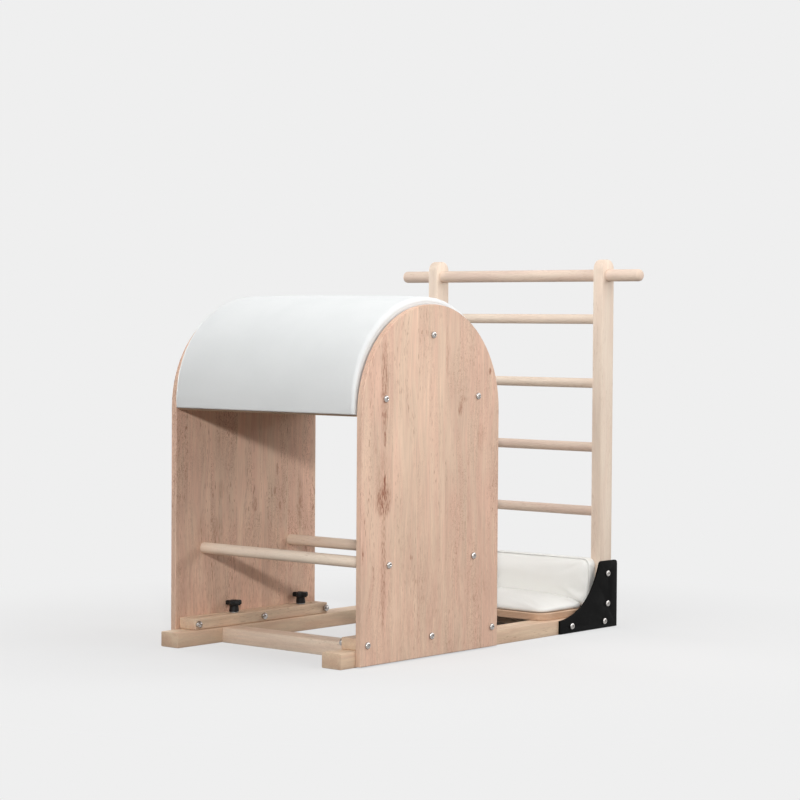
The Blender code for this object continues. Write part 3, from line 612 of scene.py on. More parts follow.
RIGHT_STAVES = (
    Stave(-0.600, 1.01, 0.60, 0.35), Stave(-0.413, 1.04, 0.28, 0.20), Stave(-0.318, 1.02, 0.36, 0.25),
    Stave(-0.207, 0.96, 0.48, 0.65), Stave(-0.115, 1.01, 0.66, 0.60), Stave(-0.048, 0.97, 0.74, 0.75),
)
LEFT_STAVES = (
    Stave(-0.600, 0.97, 0.72, 0.90), Stave(-0.487, 1.03, 0.55, 0.45), Stave(-0.403, 0.97, 0.42, 0.95),
    Stave(-0.298, 1.02, 0.50, 0.70), Stave(-0.202, 0.97, 0.34, 0.80), Stave(-0.097, 0.98, 0.74, 0.90),
)
RIGHT_KNOTS_AND_SHADE = (
    KnotAndShade(-0.449, 0.416, 0.038, 0.060, 1.15), KnotAndShade(-0.445, 0.448, 0.006, 0.048, 2.20),
    KnotAndShade(-0.445, 0.568, 0.006, 0.026, 1.40), KnotAndShade(-0.448, 0.470, 0.036, 0.090, 0.42),
    KnotAndShade(-0.447, 0.690, 0.019, 0.160, 0.80), KnotAndShade(-0.448, 0.250, 0.014, 0.250, 0.62),
    KnotAndShade(-0.022, 0.732, 0.007, 0.012, 1.10), KnotAndShade(-0.146, 0.635, 0.012, 0.024, 0.70),
    KnotAndShade(-0.128, 0.660, 0.016, 0.010, 0.45), KnotAndShade(-0.527, 0.285, 0.005, 0.036, 0.80),
    KnotAndShade(-0.200, 0.790, 0.010, 0.080, 0.40), KnotAndShade(-0.060, 0.560, 0.020, 0.050, 0.36),
    # A broad patch over the lower part of the panel: painted shade, darker toward the bottom.
    KnotAndShade(-0.230, 0.000, 0.600, 0.480, 0.17),
)
LEFT_KNOTS_AND_SHADE = (
    KnotAndShade(-0.495, 0.575, 0.004, 0.007, 1.20), KnotAndShade(-0.141, 0.450, 0.005, 0.022, 1.10),
    KnotAndShade(-0.151, 0.389, 0.006, 0.018, 0.90), KnotAndShade(-0.129, 0.348, 0.007, 0.015, 0.80),
    KnotAndShade(-0.230, 0.353, 0.013, 0.024, 0.60), KnotAndShade(-0.362, 0.404, 0.018, 0.034, 0.45),
    KnotAndShade(-0.375, 0.289, 0.032, 0.056, 0.40), KnotAndShade(-0.437, 0.292, 0.015, 0.066, 0.50),
    KnotAndShade(-0.049, 0.343, 0.015, 0.110, 0.55), KnotAndShade(-0.271, 0.149, 0.045, 0.036, 0.35),
    # A broad patch over the lower part of the panel: painted shade, darker toward the bottom.
    KnotAndShade(-0.250, 0.040, 0.600, 0.340, 0.26),
)


class Palette:
    """All finishes of the object, each made once."""

    def __init__(self) -> None:
        """Make the finishes."""
        maple = {"straw": (229, 199, 175), "pink": (226, 188, 166), "dark": (146, 90, 65)}
        # The panels' end grain darkening is set strong enough to paint shade on the top of their arch edge.
        maple |= {"grain": Axis.Z, "end_grain_and_painted_shade": 0.34}
        fresh = maple | {"straw": (234, 204, 180), "pink": (231, 193, 171)}
        pale = {"straw": (238, 221, 203), "pink": (232, 211, 193), "dark": (178, 142, 112)}
        pale |= {"grain": Axis.X, "contrast": 0.6, "flecks": 0.30, "end_grain_and_painted_shade": 0.20}
        # A darker copy of the birch for the top bar and rungs 3 and 4: painted shade.
        shade_painted = pale | {"straw": (228, 208, 190), "pink": (222, 197, 181)}
        # A lighter copy of the birch for the stretchers under the barrel: painted light.
        birch_painted_lighter = pale | {"straw": (247, 231, 212), "pink": (242, 222, 203)}
        upright = pale | {"grain": Axis.Z, "end_grain_and_painted_shade": 0.15}
        tan = {"straw": (224, 199, 172), "pink": (215, 183, 157), "dark": (158, 120, 92)}
        tan |= {"grain": Axis.Y, "contrast": 0.9, "flecks": 0.40, "end_grain_and_painted_shade": 0.16}
        # The crossbars' copy of the rail wood runs across and is set lighter: painted light.
        rail_wood_painted_lighter = tan | {"straw": (237, 217, 196), "pink": (230, 204, 183), "grain": Axis.X}
        board = {"face": (208, 177, 150), "dark": (170, 131, 102)}
        right = {"staves": RIGHT_STAVES, "knots_and_shade": RIGHT_KNOTS_AND_SHADE, "contrast": 1.15, "flecks": 0.58}
        left = {"staves": LEFT_STAVES, "knots_and_shade": LEFT_KNOTS_AND_SHADE, "contrast": 1.30, "flecks": 0.60, "shift": 5.3}
        self.panel_right = Wood("maple_panel_right", **maple, **right).material()
        self.panel_left = Wood("maple_panel_left", **fresh, **left).material()
        self.post = Wood("birch_upright", **upright).material()
        self.round = Wood("birch_round", **pale).material()
        self.shade_painted_round = Wood("shade_painted_birch_round", **shade_painted).material()
        self.stretcher = Wood("birch_stretcher_painted_lighter", **birch_painted_lighter).material()
        self.rail = Wood("rail_lengthways", **tan).material()
        self.cross = Wood("rail_crossways_painted_lighter", **rail_wood_painted_lighter).material()
        self.seat_board = Plywood("seat_plywood", grain=Axis.X, layers=Layers.Z, **board).material()
        self.back_board = Plywood("back_plywood", grain=Axis.X, layers=Layers.Y, **board).material()
        self.rib = Plywood("rib_plywood", grain=Axis.Z, layers=Layers.X, **board).material()
        self.shell = Plywood("shell_plywood", grain=Axis.X, layers=Layers.RADIUS, **board).material()
        # Copies of one white vinyl: the barrel's is set darker as painted shade, and the back pad's lighter
        # than the seat's as painted light.
        self.vinyl = Vinyl("white_vinyl", (226, 228, 228), (213, 216, 216)).material()
        self.seat_vinyl = Vinyl("seat_vinyl", (236, 235, 231), (225, 223, 218)).material()
        self.back_vinyl_painted_lighter = Vinyl("back_vinyl_painted_lighter", (245, 245, 241), (235, 234, 230)).material()
        self.thread = Vinyl("sewing_thread", (222, 223, 221), (196, 197, 195), 0.62).material()
        self.steel = PowderCoat("black_powder_coat", (7, 7, 7), (46, 45, 44)).material()
        self.nickel = Plated("bright_nickel", (184, 180, 177), 0.17).material()
        self.zinc = Plated("zinc_washer", (176, 178, 178), 0.32).material()
        self.plastic = Moulded("black_plastic", (14, 14, 14), (44, 44, 45)).material()


def crease(piece: Piece, degrees: float) -> None:
    """Keep a piece's edges sharp where they turn by more than so many degrees."""
    split = piece.modifiers.new("split", "EDGE_SPLIT")
    split.split_angle = math.radians(degrees)


def dress(node: str, material: Finish, bevel: float = 0.0) -> None:
    """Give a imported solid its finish, smooth shading and, if asked, softened arrises.

    Args:
        node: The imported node's name.
        material: Its finish.
        bevel: The width of its softened arrises, or 0.
    """
    piece = NODES[node]
    mesh = piece.data
    mesh.materials.clear()
    mesh.materials.append(material)
    for name in ("custom_normal", "sharp_edge", "sharp_face"):
        if name in mesh.attributes:
            mesh.attributes.remove(mesh.attributes[name])
    mesh.shade_smooth()
    weld = piece.modifiers.new("weld", "WELD")
    weld.merge_threshold = MERGE_DISTANCE
    if bevel > 0:
        soften = piece.modifiers.new("soften", "BEVEL")
        soften.width = bevel
        soften.segments = 2
        soften.limit_method = "ANGLE"
        soften.angle_limit = math.radians(ARRIS_ANGLE)
        soften.use_clamp_overlap = True
    crease(piece, SMOOTH_ANGLE)
    LOG.info("dressed %s with %s", node, material.name)


def add_piece(name: str, body: Body, material: Finish, rider: str) -> Piece:
    """Turn a bmesh into a piece that rides on a body.

    Args:
        name: The piece's name.
        body: Its shape, in the model's frame.
        material: Its finish.
        rider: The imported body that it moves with.

    Returns:
        The new piece.
    """
    bmesh.ops.recalc_face_normals(body, faces=body.faces)
    mesh = bpy.data.meshes.new(name)
    body.to_mesh(mesh)
    body.free()
    mesh.shade_smooth()
    mesh.materials.append(material)
    piece = bpy.data.objects.new(name, mesh)
    bpy.context.scene.collection.objects.link(piece)
    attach(piece, rider)
    LOG.info("made %s on %s", name, rider)
    return piece


def skin(body: Body, rings: list[list[Point]]) -> list[list[bmesh.types.BMVert]]:
    """Skin closed rings of equal point counts, in order, and close both ends.

    Args:
        body: The bmesh that takes the faces.
        rings: The rings' points.

    Returns:
        The new points, ring by ring.
    """
    loops = [[body.verts.new(point) for point in ring] for ring in rings]
    for lower, upper in zip(loops, loops[1:]):
        for index, corner in enumerate(lower):
            after = (index + 1) % len(lower)
            body.faces.new([corner, lower[after], upper[after], upper[index]])
    body.faces.new(loops[0])
    body.faces.new(loops[-1])
    return loops


def thread(radius: float, depth: float, pitch: float, start: float, end: float) -> Rows:
    """List the rows of a thread.

    Args:
        radius: Its outer radius.
        depth: How deep it is cut.
        pitch: The height of one turn.
        start: The height of its upper end.
        end: The height below which no turn starts.

    Returns:
        Rows of radius and height, downward.
    """
    rows = []
    while start > end:
        rows += [(radius - depth, start - pitch / 2), (radius, start - pitch)]
        start -= pitch
    return rows


class Padding:
    """Swelling of a pad by cloth simulation."""

    FRAMES = 20
    CLOTH = {
        "quality": 4, "mass": 0.35, "tension_stiffness": 28.0, "compression_stiffness": 28.0,
        "shear_stiffness": 12.0, "bending_stiffness": 2.0, "air_damping": 4.0,
        "use_pressure": True, "uniform_pressure_force": 4.0,
    }

    @classmethod
    def swell(cls, piece: Piece, held: list[int], cap: float) -> None:
        """Swell a pad under inner pressure and keep the result.

        Args:
            piece: The pad.
            held: The points that stay where they are.
            cap: The farthest that any other point may move.
        """
        rest = [vertex.co.copy() for vertex in piece.data.vertices]
        group = piece.vertex_groups.new(name="held")
        group.add(held, 1.0, "REPLACE")
        cloth = piece.modifiers.new("swell", "CLOTH")
        for name, value in cls.CLOTH.items():
            setattr(cloth.settings, name, value)
        cloth.settings.effector_weights.gravity = 0.0
        cloth.settings.vertex_group_mass = group.name
        cloth.collision_settings.use_collision = False
        cloth.collision_settings.use_self_collision = False
        scene = bpy.context.scene
        scene.frame_start = 1
        scene.frame_end = cls.FRAMES
        for step in range(1, cls.FRAMES + 1):
            scene.frame_set(step)
        graph = bpy.context.evaluated_depsgraph_get()
        moved = [vertex.co.copy() for vertex in piece.evaluated_get(graph).data.vertices]
        piece.modifiers.remove(cloth)
        for vertex, start, end in zip(piece.data.vertices, rest, moved):
            step = end - start
            if step.length > cap:
                step *= cap / step.length
            vertex.co = start + step
        scene.frame_set(1)
        piece.data.update()

    @staticmethod
    def remesh(piece: Piece, voxel: float) -> None:
        """Give a pad an even mesh.

        Args:
            piece: The pad.
            voxel: The size of its cells.
        """
        modifier = piece.modifiers.new("even", "REMESH")
        modifier.mode = "VOXEL"
        modifier.voxel_size = voxel
        graph = bpy.context.evaluated_depsgraph_get()
        even = bpy.data.meshes.new_from_object(piece.evaluated_get(graph))
        piece.modifiers.remove(modifier)
        materials = list(piece.data.materials)
        piece.data = even
        even.materials.clear()
        for material in materials:
            even.materials.append(material)

    @staticmethod
    def smooth(piece: Piece, factor: float, rounds: int) -> None:
        """Smooth a pad's mesh.

        Args:
            piece: The pad.
            factor: How far each round moves a point toward its neighbours.
            rounds: How many rounds there are.
        """
        axes = {"use_axis_x": True, "use_axis_y": True, "use_axis_z": True}
        body = bmesh.new()
        body.from_mesh(piece.data)
        for _ in range(rounds):
            bmesh.ops.smooth_vert(body, verts=body.verts, factor=factor, **axes)
        body.to_mesh(piece.data)
        body.free()

    @staticmethod
    def refine(piece: Piece) -> None:
        """Add one subdivision to a pad and shade it smooth.

        Args:
            piece: The pad.
        """
        piece.data.shade_smooth()
        finer = piece.modifiers.new("finer", "SUBSURF")
        finer.levels = 1
        finer.render_levels = 1


@dataclass
class Assembly:
    """A sub-assembly, with the finishes that dress it."""

    palette: Palette


@dataclass
class Barrel(Assembly):
    """The sliding barrel: panels, arch, pad and stretchers."""

    half_width: float = 0.3147
    inner: float = 0.265
    outer: float = 0.2980
    crown: float = 0.0034
    roll: float = 0.0120
    drop: float = 0.004
    lift: float = 0.0025
    draw_in: float = 0.0030
    thinning: float = 0.40
    thin_end: float = math.radians(40)
    thin_power: float = 1.35
    held_rolls: float = 2.2
    cap: float = 0.0025
    ripple: float = 0.0011
    ripple_reach: float = 0.05
    sag: float = 0.0008
    still_depth: float = 0.02
    seam_drop: float = 0.0022
    seam_depth: float = 0.0007
    seam_width: float = 0.0012
    stitch_drop: float = 0.0020
    stitch_inset: float = 0.0002
    stitch_pitch: float = 0.0058
    stitch_share: float = 0.82
    thread_width: float = 0.0007
    thread_height: float = 0.0009
    rib_arris: float = 0.0012
    stretcher_arris: float = 0.0015

    WALL_STEPS = 16
    ROLL_STEPS = 14
    TOP_STEPS = 34
    ARCH_STEPS = 120
    FEET = ((1.0, 0.30), (1.0, 0.62), (0.94, 0.84), (0.70, 0.95), (0.30, 0.99))
    STITCH_SIDES = 6
    STITCH = ((-0.46, 0.15, -0.0004), (-0.36, 0.42, 0.0001), (0.0, 0.50, 0.0004),
              (0.36, 0.42, 0.0001), (0.46, 0.15, -0.0004))

    def section(self) -> list[tuple[float, float]]:
        """Draw the pad's section from its right foot over its top to its left foot.

        Returns:
            Points of distance across and radius.
        """
        half, soft = self.half_width, self.roll
        edge = self.outer - self.crown
        foot = edge - soft
        right = []
        for step in range(self.WALL_STEPS):
            share = step / self.WALL_STEPS
            radius = self.inner + (foot - self.inner) * share
            pull = self.seam_depth * math.exp(-(((radius - foot + self.seam_drop) / self.seam_width) ** 2))
            right.append((half - self.draw_in * (1 - share) ** 2 - pull, radius))
        for step in range(self.ROLL_STEPS + 1):
            turn = math.pi / 2 * step / self.ROLL_STEPS
            right.append((half - soft + soft * math.cos(turn), foot + soft * math.sin(turn)))
        flat = half - soft
        for step in range(1, self.TOP_STEPS):
            x = flat * (1 - step / self.TOP_STEPS)
            right.append((x, edge + self.crown * (1 - (x / flat) ** 4)))
        return right + [(0.0, self.outer)] + [(-x, radius) for x, radius in reversed(right)]

    def fullness(self, angle: float) -> float:
        """Give the share of the pad's thickness at an angle along the arch: it thins toward its feet."""
        above = min(angle, math.pi - angle) / self.thin_end
        return 1 - self.thinning * max(0.0, 1 - above) ** self.thin_power

    def place(self, x: float, radius: float, angle: float, lower: float) -> Point:
        """Place a point of the section at an angle along the arch."""
        return x, ARCH_Y - radius * math.cos(angle), ARCH_Z - lower + radius * math.sin(angle)

    def uneven(self, x: float, angle: float) -> float:
        """Give how far the vinyl stands off its even form, with ripples beside the seams and a soft sag.

        Args:
            x: The place across the pad.
            angle: The angle along the arch.

        Returns:
            The height over the even form.
        """
        away = (self.half_width - abs(x)) / self.ripple_reach
        ripple = noise.noise((x * 9 + 31, angle * 14, 3.7)) * self.ripple * math.exp(-away * away)
        return ripple + noise.noise((x * 4, angle * 3.2, 8.1)) * self.sag

    def pad(self) -> None:
        """Make the barrel's pad, swell it, and sew its seams."""
        section = self.section()
        first = self.lift / self.outer
        span = math.pi - 2 * first
        feet = [(first, self.drop * down, share) for down, share in self.FEET]
        angles = [first + span * step / self.ARCH_STEPS for step in range(self.ARCH_STEPS + 1)]
        stations = feet + [(angle, 0.0, 1.0) for angle in angles]
        stations += [(math.pi - first, lower, share) for _, lower, share in reversed(feet)]
        rings = []
        for angle, lower, share in stations:
            ring = []
            for x, radius in section:
                reach = self.inner + (radius - self.inner) * share * self.fullness(angle)
                if radius > self.inner + self.still_depth:
                    reach += self.uneven(x, angle) * share
                ring.append(self.place(x, reach, angle, lower))
            rings.append(ring)
        body = bmesh.new()
        loops = skin(body, rings)
        body.verts.index_update()
        free = self.half_width - self.held_rolls * self.roll
        held = [vertex.index for loop, (_, _, share) in zip(loops, stations) for vertex in loop
                if share < 1.0 or abs(vertex.co.x) > free]
        piece = add_piece("barrel_cushion", body, self.palette.vinyl, "barrel")
        Padding.swell(piece, held, self.cap)
        Padding.refine(piece)
        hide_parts("barrel_pad")
        for side in SIDES:
            self.stitches(side)

    def stitches(self, side: str) -> None:
        """Sew a row of stitches along the seam at one end of the pad.

        Args:
            side: Which end of the pad it is, left or right.
        """
        radius = self.outer - self.crown - self.roll - self.seam_drop - self.stitch_drop
        seam = self.half_width - self.stitch_inset
        pitch = self.stitch_pitch / radius
        outward = 1 if side == "right" else -1
        body = bmesh.new()
        for number in range(int(math.pi / pitch)):
            middle = (number + 0.5) * pitch
            rings = []
            for along, thick, lift in self.STITCH:
                angle = middle + along * pitch * self.stitch_share
                base = self.inner + (radius - self.inner) * self.fullness(angle)
                ring = []
                for corner in range(self.STITCH_SIDES):
                    turn = math.tau * corner / self.STITCH_SIDES
                    across = seam + lift + self.thread_width * thick * math.cos(turn)
                    reach = base + self.thread_height * thick * math.sin(turn)
                    ring.append(self.place(outward * across, reach, angle, 0.0))
                rings.append(ring)
            skin(body, rings)
        add_piece(f"barrel_stitches_{side}", body, self.palette.thread, "barrel")

    def build(self) -> None:
        """Dress the wooden pieces and make the pad."""
        dress("side_panel_left", self.palette.panel_left)
        dress("side_panel_right", self.palette.panel_right)
        for rib in ("left", "middle", "right"):
            dress(f"arch_rib_{rib}", self.palette.rib, self.rib_arris)
        dress("barrel_shell", self.palette.shell)
        for end in ENDS:
            dress(f"{end}_stretcher", self.palette.stretcher, self.stretcher_arris)
        self.pad()


@dataclass
class Base(Assembly):
    """The base: rails, crossbars and the slide bars on them."""

    arris: float = 0.0008

    def build(self) -> None:
        """Dress the base and the slide bars."""
        for side in SIDES:
            dress(f"base_rail_{side}", self.palette.rail)
            dress(f"slide_bar_{side}", self.palette.rail, self.arris)
        for end in ENDS:
            dress(f"{end}_crossbar", self.palette.cross)


@dataclass
class Ladder(Assembly):
    """The ladder: posts, rungs, top bar and corner brackets."""

    rungs: int = 4
    shade_painted_rungs: tuple[int, ...] = (3, 4)
    bracket_arris: float = 0.0006

    def build(self) -> None:
        """Dress the ladder."""
        for side in SIDES:
            dress(f"ladder_post_{side}", self.palette.post)
            dress(f"corner_bracket_{side}", self.palette.steel, self.bracket_arris)
        # The top bar and rungs 3 and 4 take the darker birch copy, which paints shade on them.
        dress("ladder_top_bar", self.palette.shade_painted_round)
        for number in range(1, self.rungs + 1):
            shade_painted = number in self.shade_painted_rungs
            dress(f"ladder_rung_{number}", self.palette.shade_painted_round if shade_painted else self.palette.round)


@dataclass
class FootSeat(Assembly):
    """The padded foot seat at the ladder's foot."""

    voxel: float = 0.0045
    shrink: float = 0.0012
    back_skin: float = 0.002
    held_depth: float = 0.006
    cap: float = 0.006
    smoothing: float = 0.5
    rounds_before: int = 4
    rounds_after: int = 2
    corner: float = 0.020
    corner_steps: int = 12
    top_steps: int = 40
    cover_thickness: float = 0.0014
    cover_gap: float = 0.0003
    cover_lip: float = 0.0014
    cover_front: float = 0.012
    cover_foot: float = 0.0006
    cover_rear: float = 0.0004
    lip_depth: float = 0.010

    def cushion(self, node: str, name: str, material: Finish, base: Axis, fixed: float, high: Point) -> None:
        """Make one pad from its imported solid, swollen over its board.

        Args:
            node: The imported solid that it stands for.
            name: The new piece's name.
            material: Its vinyl.
            base: The direction that it is padded along.
            fixed: Where its flat back lies along that direction.
            high: Where its highest corner goes, so that the vinyl reaches the edges of its board.
        """
        low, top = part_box(node)
        grow = [(place - start) / (end - start) for place, start, end in zip(high, low, top)]
        body = bmesh.new()
        body.from_mesh(NODES[node].data)
        bmesh.ops.remove_doubles(body, verts=body.verts, dist=MERGE_DISTANCE)
        for vertex in body.verts:
            vertex.co.x *= high[0] / top.x
            for axis in (1, 2):
                vertex.co[axis] = low[axis] + (vertex.co[axis] - low[axis]) * grow[axis]
        bmesh.ops.recalc_face_normals(body, faces=body.faces)
        body.normal_update()
        for vertex in body.verts:
            if abs(vertex.co[base.value] - fixed) > self.back_skin:
                vertex.co -= vertex.normal * self.shrink
        piece = add_piece(name, body, material, "base")
        Padding.remesh(piece, self.voxel)
        Padding.smooth(piece, self.smoothing, self.rounds_before)
        held = [vertex.index for vertex in piece.data.vertices
                if abs(vertex.co[base.value] - fixed) < self.held_depth]
        Padding.swell(piece, held, self.cap)
        Padding.smooth(piece, self.smoothing, self.rounds_after)
        Padding.refine(piece)
        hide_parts(node)

    def rim(self) -> list[tuple[float, float]]:
        """Draw the back board's outline from its lower left corner over its top to its lower right one.

        Returns:
            Points across and up.
        """
        low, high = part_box("back_board")
        corner = self.corner
        path = [(low.x, low.z + self.cover_foot)]
        for step in range(self.corner_steps + 1):
            turn = math.pi - math.pi / 2 * step / self.corner_steps
            x = low.x + corner + corner * math.cos(turn)
            path.append((x, high.z - corner + corner * math.sin(turn)))
        right = [(-x, z) for x, z in reversed(path)]
        width = high.x - low.x - 2 * corner
        for step in range(1, self.top_steps):
            path.append((low.x + corner + width * step / self.top_steps, high.z))
        return path + right

    def cover(self) -> None:
        """Fold the back pad's vinyl over the top and the ends of its board, and turn it in behind."""
        low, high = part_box("back_board")
        front, rear = low.y - self.cover_front, high.y - self.cover_rear
        thick, gap, lip = self.cover_thickness, self.cover_gap, -self.cover_lip
        inside = front + self.lip_depth
        section = (
            (lip, front), (thick * 0.5, front + 0.003), (thick, front + 0.007), (thick, rear - 0.004),
            (thick * 0.9, rear - 0.001), (thick * 0.55, rear), (gap, rear), (gap, inside), (lip, inside),
        )
        path = self.rim()
        rings = []
        for index, (x, z) in enumerate(path):
            before, after = path[max(index - 1, 0)], path[min(index + 1, len(path) - 1)]
            run = Vector((after[0] - before[0], 0.0, after[1] - before[1])).normalized()
            out = Vector((-run.z, 0.0, run.x))
            rings.append([tuple(Vector((x, y, z)) + out * away) for away, y in section])
        body = bmesh.new()
        skin(body, rings)
        piece = add_piece("back_cover_fold", body, self.palette.back_vinyl_painted_lighter, "base")

    def build(self) -> None:
        """Dress the boards and make both pads."""
        dress("seat_board", self.palette.seat_board)
        dress("back_board", self.palette.back_board)
        low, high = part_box("seat_pad")
        self.cushion("seat_pad", "seat_cushion", self.palette.seat_vinyl, Axis.Z, low.z, tuple(high))
        _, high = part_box("back_pad")
        _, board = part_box("back_board")
        reach = (board.x + self.cover_thickness, high.y, board.z + self.cover_thickness)
        self.cushion("back_pad", "back_cushion", self.palette.back_vinyl_painted_lighter, Axis.Y, high.y, reach)
        self.cover()


@dataclass
class Clamps(Assembly):
    """The star knobs, their studs and washers."""

    lobes: int = 5
    lobe_depth: float = 0.0078
    lobe_power: float = 0.8
    hub_height: float = 0.018
    washer_gap: float = 0.0003
    washer_arris: float = 0.0002
    stud: float = 0.005
    stud_gap: float = 0.0002
    stud_collar: float = 0.0022
    stud_tip: float = 0.0012
    thread_start: float = 0.0024
    thread_end: float = 0.016
    thread_depth: float = 0.0007
    thread_pitch: float = 0.00125
    steps: int = 60
    crease_angle: float = 50.0

    def star(self, radius: float, height: float, share: float) -> list[Point]:
        """Draw a ring with lobes.

        Args:
            radius: Its radius at a lobe's tip.
            height: Its height over the knob's foot.
            share: How deep the hollows between the lobes are, 0 to 1.

        Returns:
            The ring's points about the knob's axis.
        """
        ring = []
        for step in range(self.steps):
            turn = math.tau * step / self.steps
            hollow = (0.5 - 0.5 * math.cos(self.lobes * turn)) ** self.lobe_power
            reach = radius - self.lobe_depth * share * hollow
            ring.append((reach * math.cos(turn), reach * math.sin(turn), height))
        return ring

    def knob(self, name: str, foot: Vector) -> None:
        """Make one star knob.

        Args:
            name: Which clamp it belongs to.
            foot: The middle of its underside.
        """
        top = self.hub_height
        hub = [(0.0060, 0.0000, 0.0), (0.0122, 0.0000, 0.0), (0.0131, 0.0008, 0.0), (0.0133, 0.0020, 0.0),
               (0.0126, 0.0080, 0.0)]
        head = [
            (0.0121, -0.0030, 0.0), (0.0128, -0.0012, 0.1), (0.0165, -0.0002, 0.5), (0.0204, 0.0002, 1.0),
            (0.0222, 0.0012, 1.0), (0.0230, 0.0032, 1.0), (0.0231, 0.0080, 1.0), (0.0227, 0.0104, 1.0),
            (0.0216, 0.0120, 1.0), (0.0198, 0.0128, 0.9), (0.0160, 0.0130, 0.55), (0.0124, 0.0129, 0.0),
            (0.0116, 0.0122, 0.0), (0.0110, 0.0122, 0.0), (0.0104, 0.0132, 0.0), (0.0080, 0.0140, 0.0),
            (0.0040, 0.0144, 0.0), (0.0008, 0.0145, 0.0),
        ]
        profile = hub + [(radius, top + height, share) for radius, height, share in head]
        body = bmesh.new()
        skin(body, [self.star(*row) for row in profile])
        bmesh.ops.translate(body, vec=foot, verts=body.verts)
        rider = f"knob_{name}"
        piece = add_piece(f"star_knob_{name}_detailed", body, self.palette.plastic, rider)
        crease(piece, self.crease_angle)
        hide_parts(f"star_knob_{name}")

    def threaded_stud(self, name: str, foot: Vector, low: float) -> None:
        """Make the stud under one knob.

        Args:
            name: Which clamp it belongs to.
            foot: The middle of the knob's underside.
            low: The height of the stud's lower end.
        """
        down = low - foot.z
        rows = [(self.stud, -self.stud_gap), (self.stud, -self.stud_collar)]
        rows += thread(self.stud, self.thread_depth, self.thread_pitch, -self.thread_start, -self.thread_end)
        rows += [(self.stud, down + self.stud_tip), (self.stud - self.stud_tip, down)]
        body = bmesh.new()
        skin(body, [self.star(radius, at, 0.0) for radius, at in rows])
        bmesh.ops.translate(body, vec=foot, verts=body.verts)
        add_piece(f"knob_stud_{name}", body, self.palette.zinc, f"knob_{name}")

    def build(self) -> None:
        """Make the knobs and dress the washers."""
        for name in (f"{end}_{side}" for end in ENDS for side in SIDES):
            low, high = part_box(f"knob_washer_{name}")
            foot = Vector(((low.x + high.x) / 2, (low.y + high.y) / 2, high.z + self.washer_gap))
            self.knob(name, foot)
            self.threaded_stud(name, foot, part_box(f"star_knob_{name}")[0].z)
            dress(f"knob_washer_{name}", self.palette.zinc, self.washer_arris)


